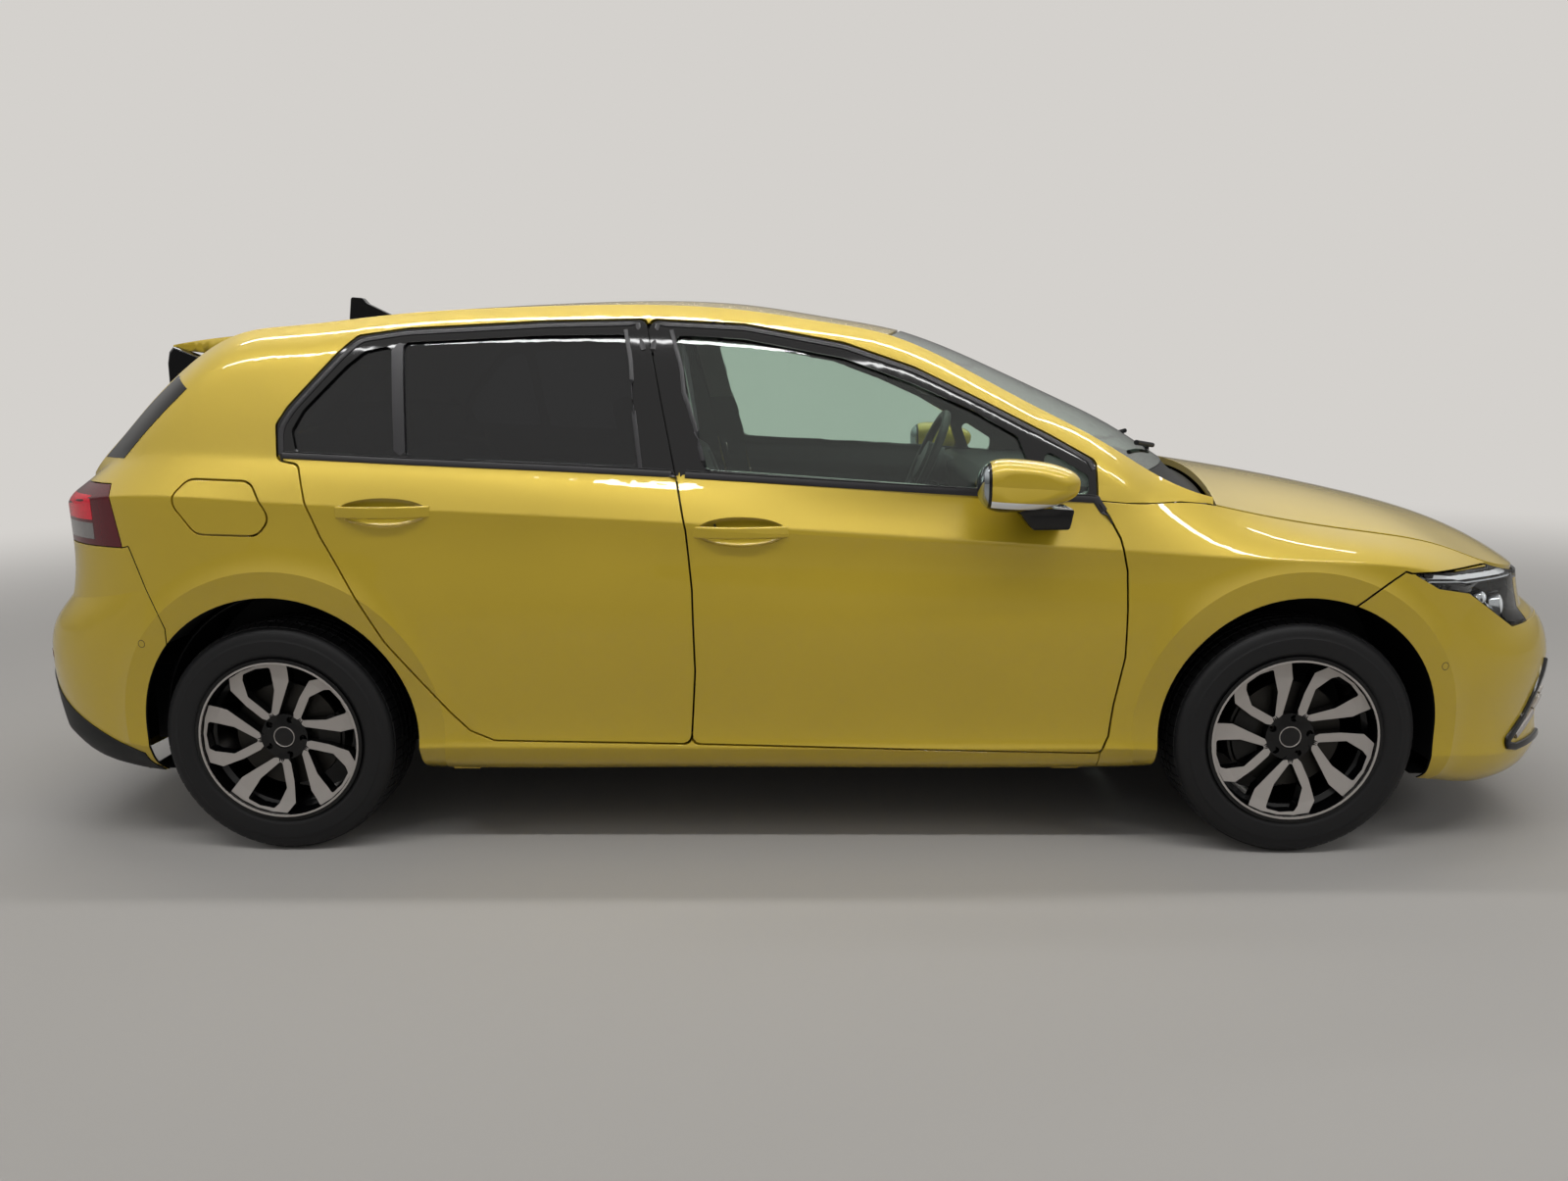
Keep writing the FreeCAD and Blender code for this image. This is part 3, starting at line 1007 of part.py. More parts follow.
def build_rim():
    half = RIM_WIDTH / 2
    lip = RIM_LIP_RADIUS
    inner = RIM_BARREL_RADIUS
    shelf, well = half - TYRE_WALL * 4, half - TYRE_WALL * 5
    shell = polygon_turned((
        (half + RIM_BARREL_WALL, lip - RIM_BARREL_WALL * 2), (half + RIM_BARREL_WALL, lip), (half, lip),
        (half, SEAT_RADIUS), (shelf, SEAT_RADIUS), (well, inner), (-well, inner), (-shelf, SEAT_RADIUS),
        (-half, SEAT_RADIUS), (-half, lip), (-half - RIM_BARREL_WALL, lip),
        (-half - RIM_BARREL_WALL, SEAT_RADIUS - RIM_BARREL_WALL), (-shelf, SEAT_RADIUS - RIM_BARREL_WALL),
        (-well, inner - RIM_BARREL_WALL), (well, inner - RIM_BARREL_WALL),
        (shelf, SEAT_RADIUS - RIM_BARREL_WALL)))
    hub = polygon_turned((
        (SPOKE_FACE - SPOKE_THICK * 1.5, 0), (SPOKE_FACE - SPOKE_THICK * 1.5, HUB_RADIUS),
        (SPOKE_FACE - SPOKE_THICK * 0.4, HUB_RADIUS), (SPOKE_FACE - RIM_BARREL_WALL, CAP_RADIUS),
        (SPOKE_FACE - RIM_BARREL_WALL * 2, 0)))
    dish = polygon_turned((
        (SPOKE_FACE - SPOKE_DISH - SPOKE_THICK, 0), (SPOKE_FACE - SPOKE_THICK, SPOKE_RADIUS),
        (SPOKE_FACE + SPOKE_DISH, SPOKE_RADIUS), (SPOKE_FACE + SPOKE_DISH / 2, SPOKE_RADIUS * 0.86),
        (SPOKE_FACE - SPOKE_DISH / 2, HUB_RADIUS), (SPOKE_FACE - SPOKE_DISH, 0)))
    rim = shell.fuse(hub)
    for i in range(SPOKE_COUNT):
        turn = 360 * i / SPOKE_COUNT
        spoke = polar_block(SPOKE_OUTLINE_SHARES, turn, HUB_RADIUS * 0.05, half)
        window = polar_block(SPOKE_WINDOW_SHARES, turn, HUB_RADIUS * 0.1, half)
        rim = rim.fuse(spoke.cut(window).common(dish))
        bolt = math.radians(turn + 180 / SPOKE_COUNT)
        centre = flat(SPOKE_FACE - BOLT_DEPTH * 2, math.sin(bolt) * BOLT_CIRCLE)
        centre = centre + Vector(math.cos(bolt) * BOLT_CIRCLE, 0, 0)
        rim = rim.cut(tube(centre, centre + Vector(0, half, 0), BOLT_RADIUS))
    disc = polygon_turned((
        (DISC_FACE, 0), (DISC_FACE, DISC_RADIUS), (DISC_FACE - DISC_WIDTH, DISC_RADIUS),
        (DISC_FACE - DISC_WIDTH, HUB_RADIUS), (0, HUB_RADIUS), (0, 0)))
    neck = tube(flat(DISC_FACE / 2, 0), flat(SPOKE_FACE - SPOKE_THICK, 0), HUB_RADIUS)
    return rim.fuse(disc).fuse(neck)


# The rim is one casting for both sides, so the right wheel is the left one turned half round, not mirrored
tyre, rim = build_tyre(), build_rim()
for name, x, y in WHEELS:
    half_turn = 0 if y > 0 else 180
    wheel_turn = WHEEL_TURN[name.split("_")[0]]
    turned_rim = rim.rotated(Vector(0, 0, 0), Vector(0, 1, 0), wheel_turn - 180)
    turned_rim = turned_rim.rotated(Vector(0, 0, 0), Vector(0, 0, 1), half_turn)
    save("tyre_" + name, tyre.translated(Vector(x, y, TYRE_RADIUS)))
    save("rim_" + name, turned_rim.translated(Vector(x, y, TYRE_RADIUS)))

# Front knuckles: hub carrier, strut clamp and steering arm, turning about the kingpin
CARRIER_RADIUS = 48.0
STRUT_RADIUS = 27.0
SPRING_RADIUS = 62.0
KNUCKLE_FOOT = TYRE_RADIUS - 105.0
BALL_RADIUS = 16.0
STRUT_Y = KINGPIN_Y - 80.0
STRUT_FOOT = TYRE_RADIUS + CARRIER_RADIUS * 1.6
hub_inner_y = FRONT_TRACK / 2
carrier = tube(Vector(FRONT_AXLE_X, KINGPIN_Y - CARRIER_RADIUS, TYRE_RADIUS),
               Vector(FRONT_AXLE_X, hub_inner_y - FIT_CLEARANCE, TYRE_RADIUS), CARRIER_RADIUS)
post = box(FRONT_AXLE_X - BALL_RADIUS * 1.5, FRONT_AXLE_X + BALL_RADIUS * 1.5, KINGPIN_Y - CARRIER_RADIUS,
           KINGPIN_Y - BALL_RADIUS / 2, KNUCKLE_FOOT, STRUT_FOOT)
foot = box(FRONT_AXLE_X - BALL_RADIUS, FRONT_AXLE_X + BALL_RADIUS, KINGPIN_Y - CARRIER_RADIUS,
           KINGPIN_Y + BALL_RADIUS, KNUCKLE_FOOT, KNUCKLE_FOOT + BALL_RADIUS)
arm = box(FRONT_AXLE_X - STRUT_RADIUS * 4.5, FRONT_AXLE_X, KINGPIN_Y - CARRIER_RADIUS,
          KINGPIN_Y - CARRIER_RADIUS + BALL_RADIUS, TYRE_RADIUS - CARRIER_RADIUS, TYRE_RADIUS)
clamp = box(FRONT_AXLE_X - STRUT_RADIUS, FRONT_AXLE_X + STRUT_RADIUS, STRUT_Y - STRUT_RADIUS,
            KINGPIN_Y - CARRIER_RADIUS + BALL_RADIUS / 2, STRUT_FOOT - CARRIER_RADIUS, STRUT_FOOT)
knuckle = join([carrier, post, foot, arm, clamp])
save("knuckle_left", knuckle)
save("knuckle_right", mirrored(knuckle))

# Floor: pan, tunnel, bulkhead, hinge pillars, heel board and boot floor
FLOOR_Z = up(0.168)
FLOOR_THICK = 12.0
FLOOR_HALF = across(0.825)
BULKHEAD_X = along(0.865)
BULKHEAD_THICK = 14.0
HEEL_X = along(0.27)
BOOT_FLOOR_Z = up(0.37)
BOOT_REAR_X = along(-0.86)
TUNNEL_HALF = 130.0
TUNNEL_RISE = 120.0
pan = box(HEEL_X, BULKHEAD_X, -FLOOR_HALF, FLOOR_HALF, FLOOR_Z, FLOOR_Z + FLOOR_THICK)
tunnel = box(HEEL_X, BULKHEAD_X, -TUNNEL_HALF, TUNNEL_HALF, FLOOR_Z, FLOOR_Z + TUNNEL_RISE)
tunnel_void = box(HEEL_X - FLOOR_THICK, BULKHEAD_X + 2 * FLOOR_THICK, -TUNNEL_HALF + FLOOR_THICK,
                  TUNNEL_HALF - FLOOR_THICK, FLOOR_Z - FLOOR_THICK, FLOOR_Z + TUNNEL_RISE - FLOOR_THICK)
bulkhead = box(BULKHEAD_X, BULKHEAD_X + BULKHEAD_THICK, -across(0.74), across(0.74), FLOOR_Z, up(0.62))
POST_WIDTH = 60.0
HINGE_POST_Y = HALF_WIDTH - FRAME_DEPTH - 2 * RUNNING_CLEARANCE - SHUT_DEPTH / 2
posts = []
for sign in (1, -1):
    inner, outer = sorted((sign * (HINGE_POST_Y - POST_WIDTH), sign * HINGE_POST_Y))
    posts.append(box(BULKHEAD_X - POST_WIDTH * 1.5, BULKHEAD_X + BULKHEAD_THICK, inner, outer, FLOOR_Z,
                     up(0.62)))
REAR_FLOOR_HALF = across(0.62)
heel = box(HEEL_X - FLOOR_THICK, HEEL_X, -FLOOR_HALF, FLOOR_HALF, FLOOR_Z, BOOT_FLOOR_Z)
boot = box(BOOT_REAR_X, HEEL_X, -REAR_FLOOR_HALF, REAR_FLOOR_HALF, BOOT_FLOOR_Z - FLOOR_THICK, BOOT_FLOOR_Z)
back_panel = box(BOOT_REAR_X, BOOT_REAR_X + FLOOR_THICK, -REAR_FLOOR_HALF, REAR_FLOOR_HALF, up(0.2),
                 up(0.455))
RAIL_HALF_WIDTH = 32.0
RAIL_Y = across(0.48)
rails = [box(BULKHEAD_X, along(1.75), sign * RAIL_Y - RAIL_HALF_WIDTH, sign * RAIL_Y + RAIL_HALF_WIDTH,
             up(0.3), up(0.3) + RAIL_HALF_WIDTH * 3) for sign in (1, -1)]
cross = box(along(1.72), along(1.75), -RAIL_Y, RAIL_Y, up(0.2), up(0.47))
floor = join([pan, tunnel, heel, boot, back_panel]).cut(tunnel_void)
front_frame = join([bulkhead, cross] + posts + rails).cut(join([pan, tunnel])).cut(tunnel_void)
guard = side_wall(SIDE_START, SIDE_END, SIDE_COLUMNS, -FLARE, FRAME_DEPTH + FIT_CLEARANCE,
                  WINDOW_DEPTH + FIT_CLEARANCE)
floor = floor.cut(guard).cut(mirrored(guard))
front_frame = front_frame.cut(guard).cut(mirrored(guard))
BUFFER_RADIUS = 11.0
for sign in (1, -1):
    buffer_x, buffer_y = along(1.735), sign * across(0.33)
    front_frame = front_frame.fuse(
        tube(Vector(buffer_x, buffer_y, up(0.46)), Vector(buffer_x, buffer_y, up(0.6)), BUFFER_RADIUS))
front_frame = front_frame.cut(bonnet_wall(-SIDE_REACH / 4, BONNET_DEPTH + FIT_CLEARANCE))

# Wheel housings behind the arches
LINER_THICK = 4.0
LINER_FRONT_RADIUS = 392.0
LINER_INNER_Y = across(0.523)
LINER_OUTER_Y = HALF_WIDTH - SHUT_DEPTH * 1.3


def build_liner(x, z, radius, inner_y, outer_y):
    skin = tube(Vector(x, inner_y, z), Vector(x, outer_y, z), radius)
    void = tube(Vector(x, inner_y + LINER_THICK, z), Vector(x, outer_y + LINER_THICK, z),
                radius - LINER_THICK)
    below = box(x - radius * 2, x + radius * 2, 0, SIDE_REACH, -radius, z - radius * 0.25)
    return skin.cut(void).cut(below)


floor_holes = tube(Vector(FRONT_AXLE_X, 0, ARCHES[0][1]), Vector(FRONT_AXLE_X, SIDE_REACH, ARCHES[0][1]),
                   LINER_FRONT_RADIUS + FIT_CLEARANCE)
floor_holes = floor_holes.common(
    box(TAIL_X, NOSE_X, LINER_INNER_Y - FIT_CLEARANCE, SIDE_REACH, 0, ROOF_HEIGHT))
floor = floor.cut(floor_holes).cut(mirrored(floor_holes))
front_frame = front_frame.cut(floor_holes).cut(mirrored(floor_holes))
save("floor_pan", max(floor.Solids, key=lambda s: s.Volume))
save("bulkhead_and_rails", max(front_frame.Solids, key=lambda s: s.Volume))
front_liner = build_liner(FRONT_AXLE_X, ARCHES[0][1], LINER_FRONT_RADIUS, LINER_INNER_Y, LINER_OUTER_Y)
strut_hole = tube(Vector(FRONT_AXLE_X, STRUT_Y, up(0.45)), Vector(FRONT_AXLE_X, STRUT_Y, up(0.6)),
                  SPRING_RADIUS + FIT_CLEARANCE)
front_liner = front_liner.cut(strut_hole)
rear_liner = build_liner(ARCHES[1][0], ARCHES[1][1], REAR_ARCH_RADIUS - SKIN, REAR_FLOOR_HALF + FIT_CLEARANCE,
                         HALF_WIDTH - FRAME_DEPTH * 1.2)

skin_guard = thin_rows(plan_at[3], plan_at[7] + WHEELBASE * 0.05, 40, ALL_ROWS, SKIN + FIT_CLEARANCE,
                       -SIDE_REACH / 8)
front_liner = max(front_liner.cut(skin_guard).Solids, key=lambda s: s.Volume)
stub_reach = CARRIER_RADIUS + RUNNING_CLEARANCE
stub_slot = box(REAR_AXLE_X - stub_reach, REAR_AXLE_X + stub_reach, 0, REAR_TRACK / 2, 0,
                TYRE_RADIUS + stub_reach)
rear_liner = rear_liner.cut(stub_slot)
save("arch_liners", Part.makeCompound([front_liner, mirrored(front_liner)]))
save("rear_arch_liners", Part.makeCompound([rear_liner, mirrored(rear_liner)]))

# Front subframe with lower arms, steering rack and the two struts
ARM_THICK = 18.0
SUBFRAME_Z = KNUCKLE_FOOT - ARM_THICK - FIT_CLEARANCE
cradle = box(FRONT_AXLE_X - WHEELBASE * 0.12, FRONT_AXLE_X + WHEELBASE * 0.06, -RAIL_Y, RAIL_Y, SUBFRAME_Z,
             SUBFRAME_Z + ARM_THICK)
cradle = cradle.cut(box(FRONT_AXLE_X - WHEELBASE * 0.06, FRONT_AXLE_X + WHEELBASE * 0.03, -RAIL_Y * 0.6,
                        RAIL_Y * 0.6, 0, ROOF_HEIGHT))
struts = []
for sign in (1, -1):
    ball = (FRONT_AXLE_X, sign * KINGPIN_Y)
    arm_y = sign * RAIL_Y * 0.9
    arm_view = [(FRONT_AXLE_X - WHEELBASE * 0.09, arm_y), (ball[0] - STRUT_RADIUS, ball[1]),
                (ball[0] + STRUT_RADIUS, ball[1]), (FRONT_AXLE_X + WHEELBASE * 0.04, arm_y)]
    arm = plan_block(arm_view, BALL_RADIUS, SUBFRAME_Z, SUBFRAME_Z + ARM_THICK)
    hanger_y = sign * RAIL_Y
    hanger = box(FRONT_AXLE_X + WHEELBASE * 0.01, FRONT_AXLE_X + WHEELBASE * 0.05, hanger_y - ARM_THICK,
                 hanger_y + ARM_THICK, SUBFRAME_Z, up(0.3) - FIT_CLEARANCE)
    cradle = join([cradle, arm, hanger])
    low = Vector(FRONT_AXLE_X, sign * STRUT_Y, STRUT_FOOT + FIT_CLEARANCE)
    high = Vector(FRONT_AXLE_X, sign * STRUT_Y, up(0.5))
    leg = tube(low, high, STRUT_RADIUS)
    spring = tube(Vector(low.x, low.y, up(0.452)), high, SPRING_RADIUS)
    tower_y = sorted((sign * (RAIL_Y + RAIL_HALF_WIDTH / 2), sign * (STRUT_Y + SPRING_RADIUS)))
    tower = box(FRONT_AXLE_X - SPRING_RADIUS, FRONT_AXLE_X + SPRING_RADIUS, tower_y[0], tower_y[1], up(0.5),
                up(0.5) + SKIN)
    web_y = sorted((sign * (RAIL_Y - RAIL_HALF_WIDTH), sign * (RAIL_Y + RAIL_HALF_WIDTH)))
    web = box(FRONT_AXLE_X - SPRING_RADIUS, FRONT_AXLE_X + SPRING_RADIUS, web_y[0], web_y[1],
              up(0.3) + RAIL_HALF_WIDTH * 3 + FIT_CLEARANCE, up(0.5) + SKIN)
    struts.append(join([leg, spring, tower, web]))
rack = tube(Vector(FRONT_AXLE_X - WHEELBASE * 0.09, -RAIL_Y * 0.85, SUBFRAME_Z + ARM_THICK * 1.6),
            Vector(FRONT_AXLE_X - WHEELBASE * 0.09, RAIL_Y * 0.85, SUBFRAME_Z + ARM_THICK * 1.6), ARM_THICK)
save("front_subframe", cradle.fuse(rack))
save("front_struts", Part.makeCompound(struts))

# Rear axle: torsion beam, trailing arms and stub axles, with a damper each side
BEAM_X = REAR_AXLE_X + WHEELBASE * 0.11
BEAM_RADIUS = 38.0
ARM_Y = across(0.56)
ARM_HALF = 20.0
pieces = [tube(Vector(BEAM_X, -ARM_Y, TYRE_RADIUS), Vector(BEAM_X, ARM_Y, TYRE_RADIUS), BEAM_RADIUS)]
for sign in (1, -1):
    y = sign * ARM_Y
    pieces.append(box(REAR_AXLE_X - CARRIER_RADIUS, BEAM_X + WHEELBASE * 0.06, y - ARM_HALF, y + ARM_HALF,
                      TYRE_RADIUS - ARM_HALF, TYRE_RADIUS + ARM_HALF))
    stub_end = sign * (REAR_TRACK / 2 - FIT_CLEARANCE)
    pieces.append(tube(Vector(REAR_AXLE_X, y, TYRE_RADIUS), Vector(REAR_AXLE_X, stub_end, TYRE_RADIUS),
                       CARRIER_RADIUS))
    damper_y = sign * (ARM_Y - ARM_HALF * 1.6)
    damper_top = BOOT_FLOOR_Z - FLOOR_THICK - FIT_CLEARANCE
    pieces.append(tube(Vector(REAR_AXLE_X, damper_y, TYRE_RADIUS - ARM_HALF),
                       Vector(REAR_AXLE_X, damper_y, damper_top), STRUT_RADIUS))
save("rear_axle", join(pieces))

# Heavy masses and what runs under the floor
save("engine_block", box(FRONT_AXLE_X - WHEELBASE * 0.06, along(1.5), -RAIL_Y + RAIL_HALF_WIDTH * 1.5,
                         RAIL_Y - RAIL_HALF_WIDTH * 1.5, SUBFRAME_Z + ARM_THICK + FIT_CLEARANCE, up(0.5)))
TANK_REAR_X = BEAM_X + BEAM_RADIUS + 4 * RUNNING_CLEARANCE
tank_profile = [(TANK_REAR_X, up(0.17)), (HEEL_X - 2 * FLOOR_THICK, up(0.15)),
                (HEEL_X - 2 * FLOOR_THICK, BOOT_FLOOR_Z - FLOOR_THICK - FIT_CLEARANCE),
                (TANK_REAR_X, BOOT_FLOOR_Z - FLOOR_THICK - FIT_CLEARANCE)]
save("fuel_tank", side_block(tank_profile, SKIN, -across(0.45), across(0.45)))
PIPE_RADIUS = 24.0
SILENCER_RADIUS = 78.0
SILENCER_Y = -across(0.33)
PIPE_Y = -across(0.52)
PIPE_LOW_Z = FLOOR_Z - PIPE_RADIUS * 1.5
SILENCER_Z = BOOT_FLOOR_Z - FLOOR_THICK - SILENCER_RADIUS - FIT_CLEARANCE
SILENCER_FRONT_X = REAR_AXLE_X - WHEELBASE * 0.06
SILENCER_REAR_X = BOOT_REAR_X + FLOOR_THICK * 2
pipe_route = [Vector(FRONT_AXLE_X - WHEELBASE * 0.13, 0, FLOOR_Z + PIPE_RADIUS * 2),
              Vector(HEEL_X + WHEELBASE * 0.16, 0, FLOOR_Z + PIPE_RADIUS * 2),
              Vector(HEEL_X + WHEELBASE * 0.11, 0, PIPE_LOW_Z),
              Vector(HEEL_X + WHEELBASE * 0.01, PIPE_Y, PIPE_LOW_Z),
              Vector(BEAM_X - WHEELBASE * 0.03, PIPE_Y, PIPE_LOW_Z),
              Vector(SILENCER_FRONT_X - SILENCER_RADIUS / 2, SILENCER_Y, SILENCER_Z)]
silencer_rear = Vector(SILENCER_REAR_X, SILENCER_Y, SILENCER_Z)
silencer_front = Vector(SILENCER_FRONT_X, SILENCER_Y, SILENCER_Z)
exhaust = [tube(silencer_rear, silencer_front, SILENCER_RADIUS)]
for here, there in zip(pipe_route, pipe_route[1:]):
    exhaust.append(tube(here, there, PIPE_RADIUS))
    exhaust.append(Part.makeSphere(PIPE_RADIUS, there))
save("exhaust", join(exhaust))

# Cowl panel between the windscreen and the bonnet, with the two wipers on it
COWL_DROP = 26.0
COWL_THICK = 6.0
COWL_REACH_SHARE = 0.97


def cowl_grid(drop):
    grid = []
    for u in spread(-COWL_REACH_SHARE, COWL_REACH_SHARE, 21):
        foot = top_point(SCREEN_FOOT_X, u)
        front = Vector(bonnet_rear(foot.y) - PANEL_GAP, foot.y, bonnet_height(bonnet_rear(foot.y), foot.y))
        rear = foot + Vector(FIT_CLEARANCE - SCREEN_LEAN[0] * GLASS / 2, 0, -GLASS / 2)
        middle = (rear + front) / 2 - Vector(0, 0, COWL_DROP * 1.2)
        grid.append([p - Vector(0, 0, drop) for p in (rear, middle, front - Vector(0, 0, COWL_DROP))])
    return grid


cowl = wall(cowl_grid(0), cowl_grid(COWL_THICK))
WIPER_LIFT = 14.0
KNEE_RISE = 18.0
WIPER_RADIUS = 7.0
WIPER_RISE_SHARE = 0.022
WIPER_BEND_SHARE = 0.3
SPINDLE_STEP = WIPER_RADIUS * 2.2
SPINDLE_DEPTH = COWL_DROP * 1.2
SPINDLE_RADIUS = WIPER_RADIUS * 1.6
for hinge_y, tip_y in ((across(0.62), -across(0.02)), (across(0.02), -across(0.6))):
    half = top_point(SCREEN_FOOT_X, 1).y
    lift = Vector(0, 0, WIPER_LIFT + WIPER_RADIUS)
    spindle = top_point(SCREEN_FOOT_X, hinge_y / half) + Vector(SPINDLE_STEP, 0, 0)
    tip = top_point(SCREEN_FOOT_X - WHEELBASE * WIPER_RISE_SHARE, tip_y / half) + lift
    mid_x = SCREEN_FOOT_X - WHEELBASE * WIPER_RISE_SHARE * WIPER_BEND_SHARE
    mid = top_point(mid_x, (hinge_y + tip_y) / 2 / half) + lift
    knee = spindle + Vector(0, 0, KNEE_RISE)
    cowl = cowl.fuse(tube(spindle - Vector(0, 0, SPINDLE_DEPTH), knee, SPINDLE_RADIUS))
    cowl = cowl.fuse(tube(knee, mid, WIPER_RADIUS)).fuse(tube(mid, tip, WIPER_RADIUS))
    cowl = cowl.fuse(Part.makeSphere(WIPER_RADIUS, mid))
save("cowl_and_wipers", cowl)

# Door mirrors: a rounded head on a foot that stands on the door below the corner window
MIRROR_SECTION_SHARES = ((0.0, 0.62, 0.66), (0.22, 0.92, 0.92), (0.5, 1.0, 1.0), (0.8, 0.9, 0.9),
                         (1.0, 0.5, 0.5))
MIRROR_X = along(0.73)
MIRROR_Z = up(0.672)
MIRROR_HALF_LENGTH = 122.0
MIRROR_HALF_HEIGHT = 74.0
MIRROR_INNER_Y = HALF_WIDTH + 20.0
MIRROR_REACH = 122.0
MIRROR_TAPER_SHARE = 0.38
MIRROR_POWER = 0.75
MIRROR_FOOT_SHARES = ((0.72, 0.632), (0.772, 0.632), (0.768, 0.597), (0.735, 0.597))
sections = []
for depth, length_share, height_share in MIRROR_SECTION_SHARES:
    y = MIRROR_INNER_Y + depth * MIRROR_REACH
    ring = []
    for i in range(20):
        turn = 2 * math.pi * i / 20
        ahead, rise = math.cos(turn), math.sin(turn)
        taper = 1 - MIRROR_TAPER_SHARE * smooth((1 + ahead) / 2)
        x = math.copysign(abs(ahead) ** MIRROR_POWER, ahead) * MIRROR_HALF_LENGTH * length_share
        z = math.copysign(abs(rise) ** MIRROR_POWER, rise) * MIRROR_HALF_HEIGHT * height_share * taper
        ring.append(Vector(MIRROR_X + x - depth * SKIN, y, MIRROR_Z + z))
    curve = Part.BSplineCurve()
    curve.interpolate(ring, True)
    sections.append(Part.Wire([curve.toShape()]))
head = Part.makeLoft(sections, True)
foot = side_block(side_points(MIRROR_FOOT_SHARES), SKIN, HALF_WIDTH * 0.9,
                  MIRROR_INNER_Y + MIRROR_REACH * 0.4)
foot = foot.cut(side_wall(SIDE_START, SIDE_END, SIDE_COLUMNS, -FIT_CLEARANCE, FRAME_DEPTH, FRAME_DEPTH))
foot = max(foot.Solids, key=lambda s: s.BoundBox.YMax)
mirror = head.fuse(foot)
save("mirror_left", mirror)
save("mirror_right", mirrored(mirror))

# Dashboard and centre console
DASH_HALF = across(0.78)
DASH_SHARES = ((0.8648, 0.62), (0.8648, 0.645), (0.73, 0.655), (0.71, 0.64), (0.72, 0.5), (0.76, 0.42),
               (0.8648, 0.42))
dash = side_block(side_points(DASH_SHARES), CORNER, -DASH_HALF, DASH_HALF)
CONSOLE_SHARES = ((0.76, 0.45), (0.70, 0.40), (0.42, 0.38), (0.40, 0.26), (0.78, 0.26))
CONSOLE_HALF = 105.0
console = side_block(side_points(CONSOLE_SHARES), CORNER, -CONSOLE_HALF, CONSOLE_HALF)
dash_inside = box(0, along(0.8648), -DASH_HALF * 2, DASH_HALF * 2, 0, ROOF_HEIGHT)
dash = dash.fuse(console.common(dash_inside))
dash = dash.cut(guard).cut(mirrored(guard))
for post in posts:
    dash = dash.cut(post)
save("dashboard", dash)

# Steering wheel on the car's left, turning about its raked column
STEER_X = along(0.683)
STEER_Y = across(0.415)
STEER_Z = up(0.64)
STEER_RAKE = math.radians(24)
STEER_RADIUS = 178.0
GRIP_RADIUS = 15.0
steer_axis = Vector(-math.cos(STEER_RAKE), 0, math.sin(STEER_RAKE))
steer_up = Vector(math.sin(STEER_RAKE), 0, math.cos(STEER_RAKE))
steer_centre = Vector(STEER_X, STEER_Y, STEER_Z)
wheel = Part.makeTorus(STEER_RADIUS, GRIP_RADIUS, steer_centre, steer_axis)
boss = tube(steer_centre - steer_axis * GRIP_RADIUS * 3, steer_centre + steer_axis * GRIP_RADIUS,
            STEER_RADIUS * 0.4)
wheel = wheel.fuse(boss)
for reach in (Vector(0, 1, 0), Vector(0, -1, 0), -steer_up):
    wheel = wheel.fuse(tube(steer_centre - steer_axis * GRIP_RADIUS, steer_centre + reach * STEER_RADIUS,
                            GRIP_RADIUS * 0.8))
save("steering_wheel", wheel)
column_start = steer_centre - steer_axis * (GRIP_RADIUS * 3 + FIT_CLEARANCE)
column = tube(column_start, column_start - steer_axis * (BULKHEAD_X - STEER_X) * 0.5, STEER_RADIUS * 0.3)
column = column.cut(dash)
save("steering_column", max(column.Solids, key=lambda s: -s.BoundBox.XMin))

# Seats: base, cushion, backrest and headrest
SEAT_Y = across(0.415)
SEAT_HALF = 236.0
CUSHION_SHARES = ((0.63, 0.275), (0.64, 0.33), (0.60, 0.345), (0.44, 0.305), (0.43, 0.25), (0.46, 0.225))
BACKREST_SHARES = ((0.46, 0.31), (0.43, 0.262), (0.40, 0.27), (0.335, 0.69), (0.362, 0.70), (0.385, 0.675))
HEADREST_SHARES = ((0.332, 0.715), (0.322, 0.80), (0.335, 0.815), (0.358, 0.80), (0.364, 0.72))
SEAT_BASE_SHARES = ((0.60, 0.17), (0.60, 0.26), (0.46, 0.23), (0.46, 0.17))
below_floor = box(TAIL_X, NOSE_X, -SIDE_REACH, SIDE_REACH, 0, FLOOR_Z + FLOOR_THICK + FIT_CLEARANCE)
HEADREST_HALF = 120.0
BACK_HALF = 235.0
seats = []
for sign in (1, -1):
    middle = sign * SEAT_Y
    pads = [side_block(side_points(CUSHION_SHARES), CORNER, middle - SEAT_HALF, middle + SEAT_HALF),
            side_block(side_points(BACKREST_SHARES), CORNER, middle - BACK_HALF, middle + BACK_HALF),
            side_block(side_points(HEADREST_SHARES), CORNER, middle - HEADREST_HALF, middle + HEADREST_HALF),
            side_block(side_points(SEAT_BASE_SHARES), CORNER, middle - SEAT_HALF * 0.8,
                       middle + SEAT_HALF * 0.8)]
    stem = tube(Vector(along(0.35), middle, up(0.66)), Vector(along(0.345), middle, up(0.75)), SKIN)
    seats.append(join(pads + [stem]).cut(below_floor))
save("front_seats", Part.makeCompound(seats))
REAR_CUSHION_SHARES = ((0.305, 0.3698), (0.315, 0.43), (0.29, 0.45), (0.12, 0.425), (0.12, 0.3698))
REAR_BACK_SHARES = ((0.155, 0.41), (0.12, 0.3698), (0.085, 0.3698), (0.035, 0.70), (0.055, 0.72),
                    (0.085, 0.70))
REAR_HEADREST_SHARES = ((0.03, 0.715), (0.022, 0.79), (0.055, 0.795), (0.065, 0.72))
REAR_SEAT_HALF = REAR_FLOOR_HALF
